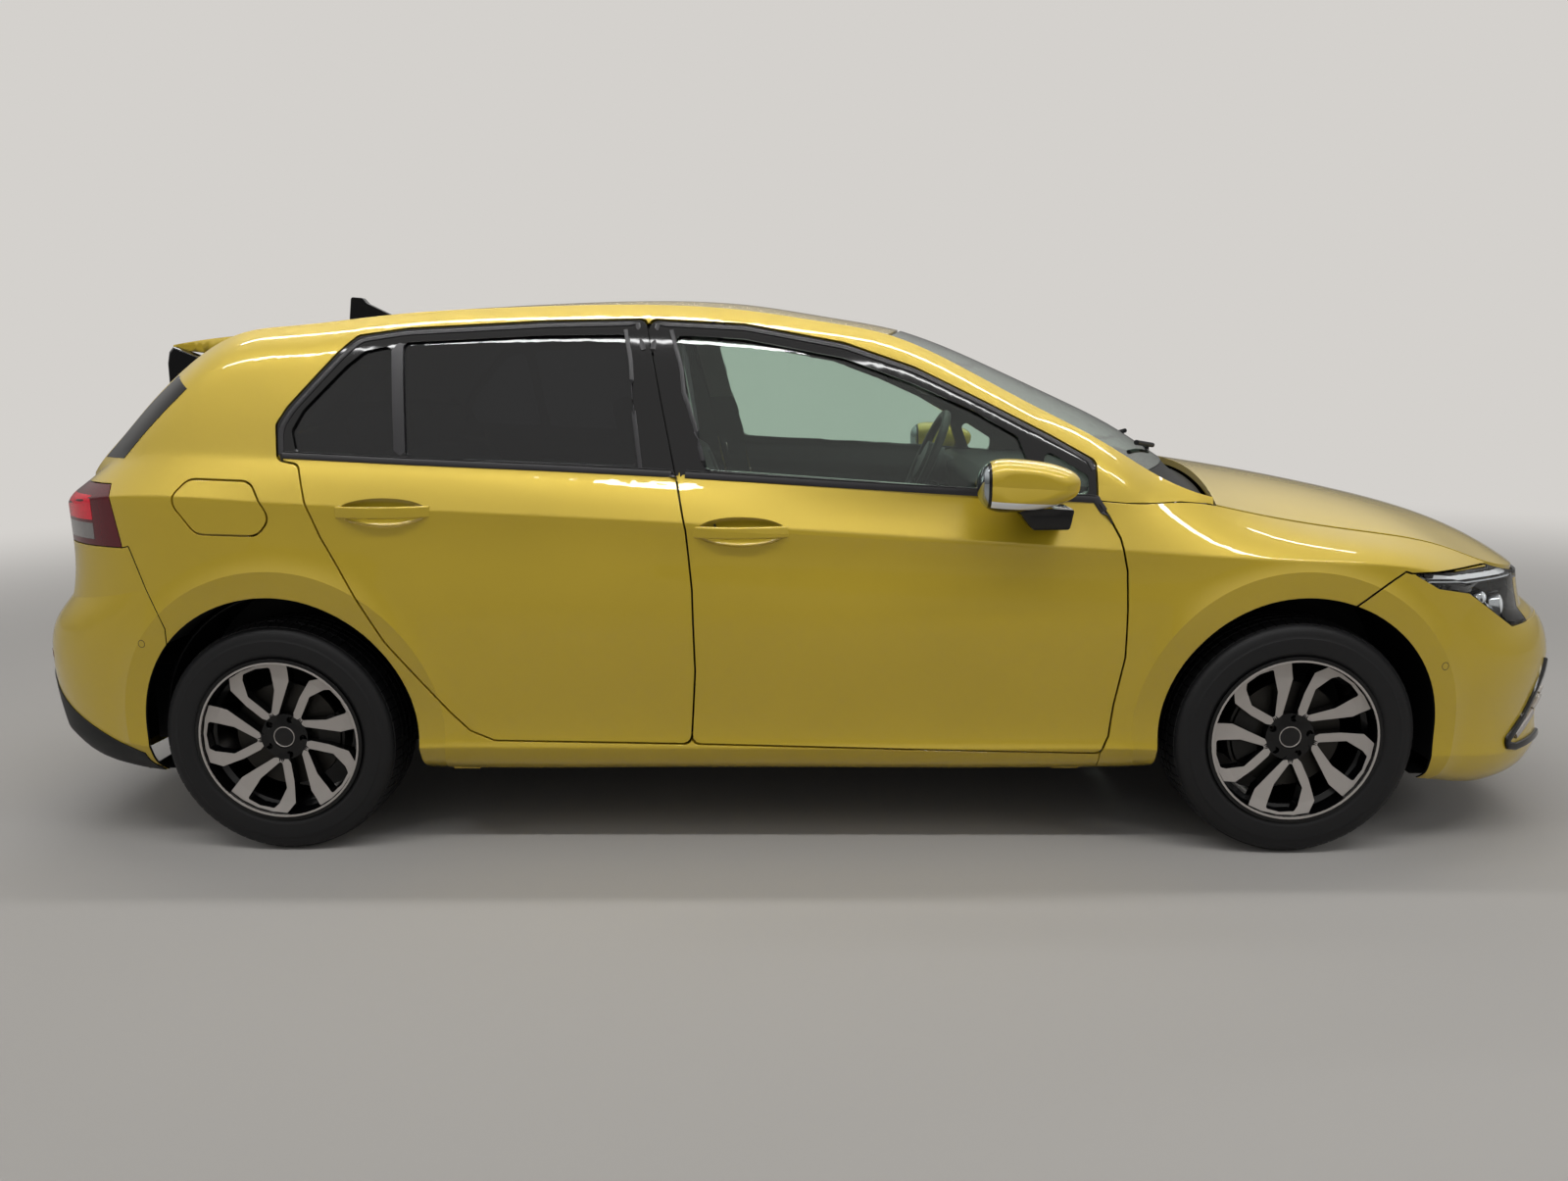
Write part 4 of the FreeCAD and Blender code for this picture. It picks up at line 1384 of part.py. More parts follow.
bench = [side_block(side_points(REAR_CUSHION_SHARES), CORNER, -REAR_SEAT_HALF, REAR_SEAT_HALF),
         side_block(side_points(REAR_BACK_SHARES), CORNER, -REAR_SEAT_HALF, REAR_SEAT_HALF)]
for middle in (-REAR_SEAT_HALF * 0.6, 0, REAR_SEAT_HALF * 0.6):
    bench.append(side_block(side_points(REAR_HEADREST_SHARES), CORNER, middle - HEADREST_HALF,
                            middle + HEADREST_HALF))
    bench.append(tube(Vector(along(0.052), middle, up(0.70)), Vector(along(0.048), middle, up(0.74)), SKIN))
below_boot = box(TAIL_X, HEEL_X, -SIDE_REACH, SIDE_REACH, 0, BOOT_FLOOR_Z + FIT_CLEARANCE)
save("rear_seat", join(bench).cut(below_boot))

# Roof aerial fin
FIN_SHARES = ((0.045, 0.95), (0.03, 0.985), (0.0, 1.012), (-0.02, 1.024), (-0.065, 1.026), (-0.085, 0.95))
FIN_HALF = 14.0
fin = side_block(side_points(FIN_SHARES), SKIN, -FIN_HALF, FIN_HALF)
roof_guard = top_wall(ROOF_FRONT_X, ROOF_REAR_X, 30, 1, ROOF_DEPTH * 2)
roof_guard = roof_guard.translated(Vector(0, 0, FIT_CLEARANCE))
save("roof_aerial", max(fin.cut(roof_guard).Solids, key=lambda s: s.BoundBox.ZMax))
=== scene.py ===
import bpy
import bmesh
import json
import math
import numpy as np
from mathutils import Matrix, Vector
from mathutils.bvhtree import BVHTree


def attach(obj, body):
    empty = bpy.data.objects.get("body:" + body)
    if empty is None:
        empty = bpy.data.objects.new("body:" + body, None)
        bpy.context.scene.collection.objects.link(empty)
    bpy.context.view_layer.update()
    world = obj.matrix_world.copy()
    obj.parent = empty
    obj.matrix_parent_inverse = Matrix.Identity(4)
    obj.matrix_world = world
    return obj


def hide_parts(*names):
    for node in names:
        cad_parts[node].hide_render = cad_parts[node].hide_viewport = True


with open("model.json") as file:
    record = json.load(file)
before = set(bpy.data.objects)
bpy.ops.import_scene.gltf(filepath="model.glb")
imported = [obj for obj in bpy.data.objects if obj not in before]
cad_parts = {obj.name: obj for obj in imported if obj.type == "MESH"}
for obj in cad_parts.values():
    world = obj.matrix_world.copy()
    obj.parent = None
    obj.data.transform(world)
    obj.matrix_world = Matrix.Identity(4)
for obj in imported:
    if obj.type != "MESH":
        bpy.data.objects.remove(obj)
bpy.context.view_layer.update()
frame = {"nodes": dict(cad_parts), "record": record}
nodes = frame["nodes"]


# Studio and camera. A pale floor and three soft lamps over a five-door hatchback.
# The camera stands at the right side, a little ahead of the middle and above the belt.
def linear(code):
    """An sRGB hex colour as linear RGBA."""
    parts = [int(code[place:place + 2], 16) / 255 for place in (1, 3, 5)]
    return tuple(c / 12.92 if c <= 0.04045 else ((c + 0.055) / 1.055) ** 2.4 for c in parts) + (1.0,)


def add(tree, kind, inputs=None, **settings):
    """Adds a node, sets its properties, and links or sets its inputs."""
    node = tree.nodes.new(kind)
    for name, value in settings.items():
        setattr(node, name, value)
    for name, value in (inputs or {}).items():
        if isinstance(value, bpy.types.NodeSocket):
            tree.links.new(value, node.inputs[name])
        else:
            node.inputs[name].default_value = value
    return node


PHOTO_WIDTH = 1600
FOCAL_PIXELS = 1173.6
SENSOR = 36.0
camera_data = bpy.data.cameras.new("camera")
camera_data.sensor_width = SENSOR
camera_data.lens = SENSOR * FOCAL_PIXELS / PHOTO_WIDTH
camera = bpy.data.objects.new("camera", camera_data)
bpy.context.scene.collection.objects.link(camera)
yaw, pitch, roll = math.radians(-1.60), math.radians(10.84), math.radians(-0.59)
forward = Vector((math.sin(yaw) * math.cos(pitch), math.cos(yaw) * math.cos(pitch), -math.sin(pitch)))
level = Vector((math.cos(yaw), -math.sin(yaw), 0))
rise = level.cross(forward)
right = level * math.cos(roll) + rise * math.sin(roll)
above = rise * math.cos(roll) - level * math.sin(roll)
CAMERA_PLACE = Vector((0.042, -3.721, 1.253))
camera.matrix_world = Matrix.Translation(CAMERA_PLACE) @ Matrix((right, above,
                                                                 -forward)).transposed().to_4x4()
bpy.context.scene.camera = camera
bpy.context.scene.view_settings.view_transform = "Standard"

FLOOR_SIZE = 60.0
floor_mesh = bpy.data.meshes.new("studio_floor")
half = FLOOR_SIZE / 2
floor_mesh.from_pydata([(-half, -half, 0), (half, -half, 0), (half, half, 0), (-half, half, 0)], [],
                       [(0, 1, 2, 3)])
floor = bpy.data.objects.new("studio_floor", floor_mesh)
bpy.context.scene.collection.objects.link(floor)
FLOOR_TONE = "#ACA9A5"
BACKDROP_TONE = "#D4D1CD"
FLOOR_MIRRORED_SHARE = 0.3
floor_finish = bpy.data.materials.new("studio_paper")
floor_finish.use_nodes = True
paper = floor_finish.node_tree
paper.nodes.clear()
paper_place = add(paper, "ShaderNodeTexCoord").outputs["Object"]
paper_reach = add(paper, "ShaderNodeVectorMath", {0: paper_place}, operation="LENGTH").outputs["Value"]
paper_fade = add(paper, "ShaderNodeMapRange", {"Value": paper_reach, "From Min": 3.2, "From Max": 9.0},
                 interpolation_type="SMOOTHSTEP")
paper_path = add(paper, "ShaderNodeLightPath")
paper_seen = add(paper, "ShaderNodeMath", {0: paper_path.outputs["Is Camera Ray"],
                                           1: paper_path.outputs["Is Transmission Ray"]}, operation="MAXIMUM")
paper_mirrored = add(paper, "ShaderNodeMath", {0: paper_path.outputs["Is Glossy Ray"],
                                               1: FLOOR_MIRRORED_SHARE},
                     operation="MULTIPLY")
paper_seen = add(paper, "ShaderNodeMath", {0: paper_seen.outputs[0], 1: paper_mirrored.outputs[0]},
                 operation="MAXIMUM")
paper_mix = add(paper, "ShaderNodeMath", {0: paper_fade.outputs["Result"], 1: paper_seen.outputs[0]},
                operation="MULTIPLY")
paper_sheet = add(paper, "ShaderNodeBsdfDiffuse", {"Color": linear(FLOOR_TONE)})
paper_glow = add(paper, "ShaderNodeEmission", {"Color": linear(BACKDROP_TONE), "Strength": 1.0})
paper_blend = add(paper, "ShaderNodeMixShader", {0: paper_mix.outputs[0], 1: paper_sheet.outputs[0],
                                                 2: paper_glow.outputs[0]})
add(paper, "ShaderNodeOutputMaterial", {"Surface": paper_blend.outputs[0]})
floor_mesh.materials.append(floor_finish)

world = bpy.data.worlds.new("studio_air")
bpy.context.scene.world = world
world.use_nodes = True
air = world.node_tree
air.nodes.clear()
path = add(air, "ShaderNodeLightPath")
seen = add(air, "ShaderNodeMath", {0: path.outputs["Is Camera Ray"], 1: path.outputs["Is Transmission Ray"]},
           operation="MAXIMUM")
fill = add(air, "ShaderNodeBackground", {"Color": linear("#EDEEF0"), "Strength": 0.36})
height = add(air, "ShaderNodeSeparateXYZ",
             {0: add(air, "ShaderNodeTexCoord").outputs["Generated"]}).outputs["Z"]
ceiling = add(air, "ShaderNodeMapRange", {"Value": height, "From Min": 0.0, "From Max": 0.5, "To Min": 0.20,
                                          "To Max": 0.85}, interpolation_type="SMOOTHSTEP")
mirrored_air = add(air, "ShaderNodeBackground", {"Color": linear("#F1EFEC"),
                                                 "Strength": ceiling.outputs["Result"]})
unseen = add(air, "ShaderNodeMixShader", {0: path.outputs["Is Glossy Ray"], 1: fill.outputs[0],
                                          2: mirrored_air.outputs[0]})
backdrop = add(air, "ShaderNodeBackground", {"Color": linear(BACKDROP_TONE), "Strength": 1.0})
mixed = add(air, "ShaderNodeMixShader", {0: seen.outputs[0], 1: unseen.outputs[0], 2: backdrop.outputs[0]})
add(air, "ShaderNodeOutputWorld", {"Surface": mixed.outputs[0]})

STUDIO_LAMPS = {
    "ceiling_near": ((0.0, -2.6, 4.2), (0.0, 0.0, 0.6), (7.5, 0.16), 100),
    "ceiling_mid": ((0.0, 0.2, 4.6), (0.0, 0.0, 0.0), (7.5, 0.18), 80),
    "ceiling_far": ((0.0, 3.2, 4.2), (0.0, 0.0, 0.6), (7.5, 0.16), 70),
    "front_fill": ((6.5, -3.0, 3.4), (0.0, 0.0, 0.7), (3.0, 2.0), 60),
    "rear_fill": ((-6.5, -2.5, 3.4), (0.0, 0.0, 0.7), (3.0, 2.0), 50),
}
for name, (place, target, size, power) in STUDIO_LAMPS.items():
    lamp = bpy.data.lights.new(name, "AREA")
    lamp.shape = "RECTANGLE"
    lamp.size, lamp.size_y = size
    lamp.energy = power
    stand = bpy.data.objects.new(name, lamp)
    bpy.context.scene.collection.objects.link(stand)
    stand.location = place
    stand.rotation_euler = (Vector(target) - Vector(place)).to_track_quat("-Z", "Y").to_euler()
    stand.visible_glossy = name.startswith("ceiling")


# Body panels. Pressed steel in lemon metallic lacquer, flakes in a base coat under clear coat.
# Their inner faces carry dark trim in the cabin, black sealant under the wings and a headliner on the roof.
# Wheel arches: middle x and z, the radius of the opening and that of the crease pressed round it
ARCHES = ((1.265, 0.335, 0.350, 0.413), (-1.355, 0.335, 0.364, 0.430))
ARCH_FALL, ARCH_RISE, FLARE_WIDTH = 0.34, 0.16, 0.055
# The shoulder crease along the doors: z at x = 0, its slope, the turn of the panel above it and its height
SHOULDER_HEIGHT, SHOULDER_SLOPE, SHOULDER_TURN, SHOULDER_WIDTH = 0.8506, -0.0636, 0.22, 0.16


def pressed_panels(tree, place):
    """The relief of the panels: flares turned down inside the arch creases, and the shoulder's crease."""
    def sum_of(operation, *values):
        return add(tree, "ShaderNodeMath", dict(enumerate(values)), operation=operation).outputs[0]

    def ramp(value, low, high, smooth="SMOOTHSTEP"):
        return add(tree, "ShaderNodeMapRange", {"Value": value, "From Min": low, "From Max": high},
                   interpolation_type=smooth).outputs["Result"]

    flat = add(tree, "ShaderNodeVectorMath", {0: place, 1: (1.0, 0.0, 1.0)},
               operation="MULTIPLY").outputs["Vector"]
    apart = add(tree, "ShaderNodeSeparateXYZ", {0: place}).outputs
    height = 0.0
    for x, z, _, crease in ARCHES:
        reach = add(tree, "ShaderNodeVectorMath", {0: flat, 1: (x, 0.0, z)},
                    operation="DISTANCE").outputs["Value"]
        fall = sum_of("MINIMUM", sum_of("SUBTRACT", reach, crease), 0.0)
        height = sum_of("MULTIPLY_ADD", fall, ARCH_FALL, height)
        outside = ramp(reach, crease, crease + FLARE_WIDTH, "LINEAR")
        bulge = sum_of("MULTIPLY", sum_of("SUBTRACT", outside, 2.0), outside)
        height = sum_of("MULTIPLY_ADD", bulge, ARCH_RISE * FLARE_WIDTH / 2, height)
    crease = sum_of("MULTIPLY_ADD", apart["X"], SHOULDER_SLOPE, SHOULDER_HEIGHT)
    above = sum_of("MINIMUM", sum_of("MAXIMUM", sum_of("SUBTRACT", apart["Z"], crease), 0.0), SHOULDER_WIDTH)
    along_doors = sum_of("MULTIPLY", ramp(apart["X"], -0.6, 0.1), ramp(apart["X"], 0.85, 0.6))
    return sum_of("MULTIPLY_ADD", sum_of("MULTIPLY", above, along_doors), -SHOULDER_TURN, height)


def finish(name, colour, roughness, metallic=0.0, tone=0.06, patch=0.4, grain=0.0, grain_size=0.001, edge=0.0,
           pressing=None, **extra):
    """A surface whose colour and roughness drift in patches, with a fine grain and edges that look rolled."""
    material = bpy.data.materials.new(name)
    material.use_nodes = True
    tree = material.node_tree
    shader = tree.nodes["Principled BSDF"]
    place = add(tree, "ShaderNodeTexCoord").outputs["Object"]
    drift = add(tree, "ShaderNodeTexNoise", {"Vector": place, "Scale": 1 / patch, "Detail": 4.0})
    base = linear(colour)
    darker = tuple(c * (1 - tone) for c in base[:3]) + (1.0,)
    lighter = tuple(min(1.0, c * (1 + tone)) for c in base[:3]) + (1.0,)
    ramp = add(tree, "ShaderNodeValToRGB", {"Fac": drift.outputs["Fac"]})
    ramp.color_ramp.elements[0].position = 0.3
    ramp.color_ramp.elements[1].position = 0.7
    ramp.color_ramp.elements[0].color = darker
    ramp.color_ramp.elements[1].color = lighter
    tree.links.new(ramp.outputs["Color"], shader.inputs["Base Color"])
    spread = add(tree, "ShaderNodeMapRange", {"Value": drift.outputs["Fac"], "To Min": roughness * 0.88,
                                              "To Max": roughness * 1.12})
    tree.links.new(spread.outputs["Result"], shader.inputs["Roughness"])
    shader.inputs["Metallic"].default_value = metallic
    for socket, value in extra.items():
        shader.inputs[socket.replace("_", " ")].default_value = value
    normal = None
    if edge:
        normal = add(tree, "ShaderNodeBevel", {"Radius": edge}, samples=4).outputs["Normal"]
        if pressing:
            normal = add(tree, "ShaderNodeBump", {"Height": pressing(tree, place), "Strength": 1.0,
                                                  "Distance": 1.0,
                                                  "Normal": normal}).outputs["Normal"]
        tree.links.new(normal, shader.inputs["Coat Normal"])
        tree.links.new(normal, shader.inputs["Normal"])
    if grain:
        speckle = add(tree, "ShaderNodeTexNoise", {"Vector": place, "Scale": 1 / grain_size, "Detail": 2.0})
        relief = add(tree, "ShaderNodeBump", {"Height": speckle.outputs["Fac"], "Strength": grain,
                                              "Distance": grain_size / 3})
        if normal:
            tree.links.new(normal, relief.inputs["Normal"])
        tree.links.new(relief.outputs["Normal"], shader.inputs["Normal"])
    return material


# Sprayed metallic paint on the outer panels
LACQUER = finish("lemon_metallic_lacquer", "#C9AC24", 0.40, metallic=0.30, tone=0.03, grain=0.10,
                 grain_size=0.0016, edge=0.0022, pressing=pressed_panels, Coat_Weight=1.0,
                 Coat_Roughness=0.02)
# Injection-moulded trims polished to a gloss, as on the door pillars
GLOSS_BLACK = finish("gloss_black_trim", "#060608", 0.09, Coat_Weight=0.1, edge=0.0012,
                     Specular_IOR_Level=0.4)
# Satin strips round the side windows
SATIN_BLACK = finish("satin_black_trim", "#252427", 0.36, tone=0.05, grain=0.05, grain_size=0.0006,
                     edge=0.001)
# Grained polypropylene of the cowl, liners and lower bumper panels
BLACK_PLASTIC = finish("grained_black_polypropylene", "#151617", 0.55, grain=0.2, grain_size=0.0012,
                       edge=0.001,
                       Specular_IOR_Level=0.3)
# Moulded door linings, pillar linings and dashboard
CABIN_TRIM = finish("soft_touch_cabin_trim", "#17181A", 0.62, grain=0.3, grain_size=0.0011)
# Woven headliner on the roof and the upper pillars
HEADLINER = finish("woven_grey_headliner", "#8D8B86", 0.92, tone=0.05, grain=0.4, grain_size=0.0014)
# Sprayed seam sealant and underbody coat
UNDERSEAL = finish("underbody_coat", "#08090A", 0.85, grain=0.3, grain_size=0.003, Specular_IOR_Level=0.15)
# Foamed rubber of the seals and the tyres
RUBBER = finish("tyre_rubber", "#0E0E10", 0.58, grain=0.15, grain_size=0.001, Specular_IOR_Level=0.4)
# Machined and lacquered faces of the alloy wheels
ALLOY = finish("machined_alloy", "#B3ADA8", 0.42, metallic=0.45, tone=0.04, grain=0.05, grain_size=0.0008,
               edge=0.0008, Coat_Weight=0.3)
# Gloss black powder coat in the wheels' recesses
WHEEL_BLACK = finish("gloss_black_wheel_coat", "#070708", 0.18, tone=0.1, edge=0.001, Specular_IOR_Level=0.35)
# Cast iron of brake discs and knuckles, ground bright where the pads run
CAST = finish("cast_iron", "#2E2D2C", 0.55, metallic=0.7, grain=0.25, grain_size=0.002)
GROUND_STEEL = finish("ground_brake_disc", "#34322F", 0.4, metallic=0.8, tone=0.12, patch=0.05)
# Exhaust steel dulled by heat and road dirt, black leather and charcoal cloth
STEEL = finish("exhaust_steel", "#34322F", 0.62, metallic=0.6)
LEATHER = finish("black_leather", "#141416", 0.45, grain=0.3, grain_size=0.0012)
CLOTH = finish("charcoal_seat_cloth", "#303236", 0.9, grain=0.5, grain_size=0.002, Sheen_Weight=0.3)
# Laminated and tempered glass, clear in front, dark behind the middle pillar
CLEAR_GLASS = finish("green_tinted_safety_glass", "#D5E6DC", 0.005, tone=0.01, Transmission_Weight=1.0,
                     IOR=1.45)
PRIVACY_GLASS = finish("dark_privacy_glass", "#45474A", 0.01, tone=0.05, Transmission_Weight=0.93, IOR=1.45)
# Clear and red lamp covers
LENS = finish("clear_polycarbonate_lens", "#F4F6F7", 0.01, tone=0.01, Transmission_Weight=1.0, IOR=1.10,
              Coat_Weight=0.15)
RED_LENS = finish("dark_red_acrylic_lens", "#560413", 0.06, tone=0.12, Coat_Weight=0.2, edge=0.001)
BRIGHT_RED = finish("bright_red_reflector", "#E4042C", 0.12, tone=0.08, patch=0.01, Coat_Weight=0.3)
# Bright plating and lamp reflectors
CHROME = finish("vacuum_plated_reflector", "#C9CCD0", 0.12, metallic=1.0, tone=0.03)
WHITE_LENS = finish("frosted_light_guide", "#F2F4F6", 0.2, tone=0.02, Coat_Weight=1.0)
SMOKED_LENS = finish("smoked_reverse_lens", "#6F6B69", 0.1, tone=0.05, Coat_Weight=1.0)

SLOT_FINISH = {
    "yellow_paint": LACQUER, "clear_glass": CLEAR_GLASS, "privacy_glass": PRIVACY_GLASS, "lamp_lens": LENS,
    "red_lens": RED_LENS, "gloss_black_plastic": GLOSS_BLACK, "black_plastic": BLACK_PLASTIC,
    "tyre_rubber": RUBBER, "alloy": ALLOY, "cast_metal": CAST, "underbody_coat": UNDERSEAL,
    "exhaust_steel": STEEL, "wheel_leather": LEATHER, "seat_fabric": CLOTH,
}
slots = {part["node"]: part["material_slot"] for part in frame["record"]["subparts"]}
for name, node in nodes.items():
    for place in node.material_slots:
        place.material = SLOT_FINISH[slots.get(name, "black_plastic")]
bpy.context.view_layer.update()


def faces_of(node):
    """Centres and normals of a node's faces in the row frame."""
    mesh = node.data
    centre = np.empty(len(mesh.polygons) * 3)
    mesh.polygons.foreach_get("center", centre)
    normal = np.empty(len(mesh.polygons) * 3)
    mesh.polygons.foreach_get("normal", normal)
    turn = np.array(node.matrix_world)
    return centre.reshape(-1, 3) @ turn[:3, :3].T + turn[:3, 3], normal.reshape(-1, 3) @ turn[:3, :3].T


def dress(name, *rules):
    """Gives faces of a CAD node the materials of (test, material) rules; a later rule wins."""
    node = nodes[name]
    centre, normal = faces_of(node)
    chosen = np.zeros(len(centre), dtype=np.int32)
    for test, material in rules:
        found = test(centre, normal)
        if not found.any():
            continue
        node.data.materials.append(material)
        chosen[found] = len(node.data.materials) - 1
    node.data.polygons.foreach_set("material_index", chosen)


# The waistline: x and z where painted side panel gives way to glass and black trim
BELT_X = (-1.330, -1.270, -0.978, -0.630, -0.308, 0.111, 0.455, 0.756, 0.900)
BELT_Z = (1.046, 1.043, 1.026, 1.009, 0.989, 0.963, 0.941, 0.919, 0.908)


def above_belt(centre, margin=-0.004):
    return centre[:, 2] > np.interp(centre[:, 0], BELT_X, BELT_Z) + margin


def inward(centre, normal):
    return normal[:, 1] * np.sign(centre[:, 1]) < -0.25


ARCH_LIP = 0.012


def arch_return(centre, normal):
    """Faces that look at the wheel from the edge of its arch."""
    found = np.full(len(centre), False)
    for x, z, radius, _ in ARCHES:
        dx, dz = centre[:, 0] - x, centre[:, 2] - z
        reach = np.hypot(dx, dz)
        facing = (normal[:, 0] * dx + normal[:, 2] * dz) / np.maximum(reach, 1e-6)
        found |= (reach < radius + ARCH_LIP) & (facing < -0.3)
    return found


# The upright between the rear door's two panes
DIVIDER_X = -1.0
for side in ("left", "right"):
    for which in ("front", "rear"):
        dress(f"door_{which}_{side}", (lambda c, n: above_belt(c, 0.008), GLOSS_BLACK),
              (lambda c, n: above_belt(c, 0.03) & (np.abs(c[:, 0] - DIVIDER_X) < 0.04) & (c[:, 2] < 1.33),
               SATIN_BLACK),
              (inward, CABIN_TRIM))
    dress(f"side_frame_{side}",
          (lambda c, n: inward(c, n) & (c[:, 2] > 0.33), CABIN_TRIM),
          (lambda c, n: inward(c, n) & (c[:, 2] > 1.15), HEADLINER),
          (lambda c, n: above_belt(c, 0.004) & (np.abs(n[:, 1]) < 0.3) & (c[:, 0] > -1.34) & (c[:, 0] < 0.86)
           & (c[:, 2] < 1.39), GLOSS_BLACK),
          (lambda c, n: above_belt(c, 0.0) & ~inward(c, n) & (c[:, 0] > -0.45) & (c[:, 0] < -0.19)
           & (c[:, 2] < 1.374), GLOSS_BLACK),
          (arch_return, UNDERSEAL))
dress("roof_panel", (lambda c, n: n[:, 2] < -0.3, HEADLINER))
dress("bonnet", (lambda c, n: n[:, 2] < -0.3, UNDERSEAL))
dress("tailgate", (lambda c, n: (c[:, 2] > 1.07) & (np.abs(c[:, 1]) > 0.5), GLOSS_BLACK),
      (lambda c, n: n[:, 0] > 0.25, CABIN_TRIM))
dress("front_wings", (inward, UNDERSEAL), (arch_return, UNDERSEAL))
dress("front_bumper", (lambda c, n: n[:, 0] < -0.4, UNDERSEAL), (inward, UNDERSEAL), (arch_return, UNDERSEAL))
dress("rear_bumper", (lambda c, n: n[:, 0] > 0.4, UNDERSEAL), (inward, UNDERSEAL), (arch_return, UNDERSEAL))


# Wheels. Five twin-spoke alloys, machined on the face and gloss black in the recesses, with a plain
# centre cap and five bolts; grooved road tyres with blocks; ground brake discs under floating calipers.
def make(name, verts, faces, body, *materials, index=None, smooth=True):
    """A new piece at the origin that rides on a body."""
    mesh = bpy.data.meshes.new(name)
    mesh.from_pydata([tuple(map(float, v)) for v in verts], [], [tuple(map(int, f)) for f in faces])
    for material in materials:
        mesh.materials.append(material)
    if index is not None:
        mesh.polygons.foreach_set("material_index", np.array(index, dtype=np.int32))
    mesh.polygons.foreach_set("use_smooth", np.full(len(mesh.polygons), smooth))
    mesh.validate()
    mesh.update()
    piece = bpy.data.objects.new(name, mesh)
    bpy.context.scene.collection.objects.link(piece)
    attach(piece, body)
    return piece


def outward(piece):
    """Merges doubles and turns all faces of closed solids to the outside."""
    bm = bmesh.new()
    bm.from_mesh(piece.data)
    bmesh.ops.remove_doubles(bm, verts=bm.verts, dist=1e-6)
    bmesh.ops.recalc_face_normals(bm, faces=bm.faces)
    bm.to_mesh(piece.data)
    bm.free()
    return piece


def creased(piece, degrees=35):
    """Keeps edges sharper than an angle crisp in the shading."""
    piece.data.set_sharp_from_angle(angle=math.radians(degrees))
    return piece


def revolve(profile, centre, side, count=96, closed=True):
    """Points and quads of a profile of (across, radius) turned about the wheel's axle."""
    verts, faces = [], []
    rows = len(profile)
    for k in range(count):
        turn = 2 * math.pi * k / count
        for across_wheel, radius in profile:
            verts.append((centre[0] + radius * math.cos(turn), centre[1] + side * across_wheel,
                          centre[2] + radius * math.sin(turn)))
    for k in range(count):
        here, there = k * rows, ((k + 1) % count) * rows
        for i in range(rows if closed else rows - 1):
            j = (i + 1) % rows
            faces.append((here + i, there + i, there + j, here + j))
    return verts, faces


TYRE_CROWN = 0.3096
GROOVE_FLOOR = 0.3032
PITCHES = 70
BLOCK_ROWS = ((-0.0840, -0.0500), (-0.0420, -0.0190), (-0.0110, 0.0110), (0.0190, 0.0420), (0.0500, 0.0840))
CARCASS = ((0.0840, 0.2095), (0.0915, 0.2140), (0.0975, 0.2260), (0.1002, 0.2300), (0.1010, 0.2350),
           (0.1016, 0.2430),
           (0.1021, 0.2500), (0.1023, 0.2600), (0.1022, 0.2680), (0.1018, 0.2685), (0.1012, 0.2760),
           (0.1000, 0.2830),
           (0.0975, 0.2905), (0.0935, 0.2960), (0.0870, 0.3005), (0.0800, 0.3028), (0.0500, GROOVE_FLOOR))


def crown_at(across_wheel):
    edge = max(0.0, (abs(across_wheel) - 0.070) / 0.014)
    return TYRE_CROWN - 0.0028 * (across_wheel / 0.084) ** 2 - 0.0030 * edge * edge


def build_tyre(wheel, centre):
    inner = ((0.0600, 0.2100), (0.0700, 0.2400), (0.0760, 0.2930))
    profile = list(CARCASS) + [(-y, r) for y, r in CARCASS[::-1]] + [(-y, r) for y, r in inner]
    profile += list(inner[::-1])
    verts, faces = revolve(profile, centre, 1, 128)
    for left, right in BLOCK_ROWS:
        for k in range(PITCHES):
            start = len(verts)
            rows = [left + (right - left) * share for share in (0, 0.5, 1)]
            for j, y in enumerate(rows):
                slant = 0.22 * y / 0.084 if abs(y) > 0.045 else 0.5 * y / 0.084
                for i in range(4):
                    share = 0.06 + 0.88 * i / 3
                    turn = 2 * math.pi * (k + share + slant) / PITCHES
                    for radius in (GROOVE_FLOOR - 0.0015, crown_at(y)):
                        verts.append((centre[0] + radius * math.cos(turn), centre[1] + y,
                                      centre[2] + radius * math.sin(turn)))
            def at(j, i, top):
                return start + (j * 4 + i) * 2 + top
            for j in range(2):
                for i in range(3):
                    faces.append((at(j, i, 1), at(j, i + 1, 1), at(j + 1, i + 1, 1), at(j + 1, i, 1)))
                    faces.append((at(j, i, 0), at(j + 1, i, 0), at(j + 1, i + 1, 0), at(j, i + 1, 0)))
                faces.append((at(j, 0, 0), at(j, 0, 1), at(j + 1, 0, 1), at(j + 1, 0, 0)))
                faces.append((at(j, 3, 1), at(j, 3, 0), at(j + 1, 3, 0), at(j + 1, 3, 1)))
            for i in range(3):
                faces.append((at(0, i, 1), at(0, i, 0), at(0, i + 1, 0), at(0, i + 1, 1)))
                faces.append((at(2, i, 0), at(2, i, 1), at(2, i + 1, 1), at(2, i + 1, 0)))
    tyre = creased(outward(make(f"tyre_with_tread_{wheel}", verts, faces, f"wheel_{wheel}", RUBBER)))
    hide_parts(f"tyre_{wheel}")


def ring_of(count, radius, centre, turn=0.0):
    """Points of a regular polygon across the wheel plane."""
    return [(centre[0] + radius * math.cos(turn + 2 * math.pi * k / count),
             centre[2] + radius * math.sin(turn + 2 * math.pi * k / count)) for k in range(count)]


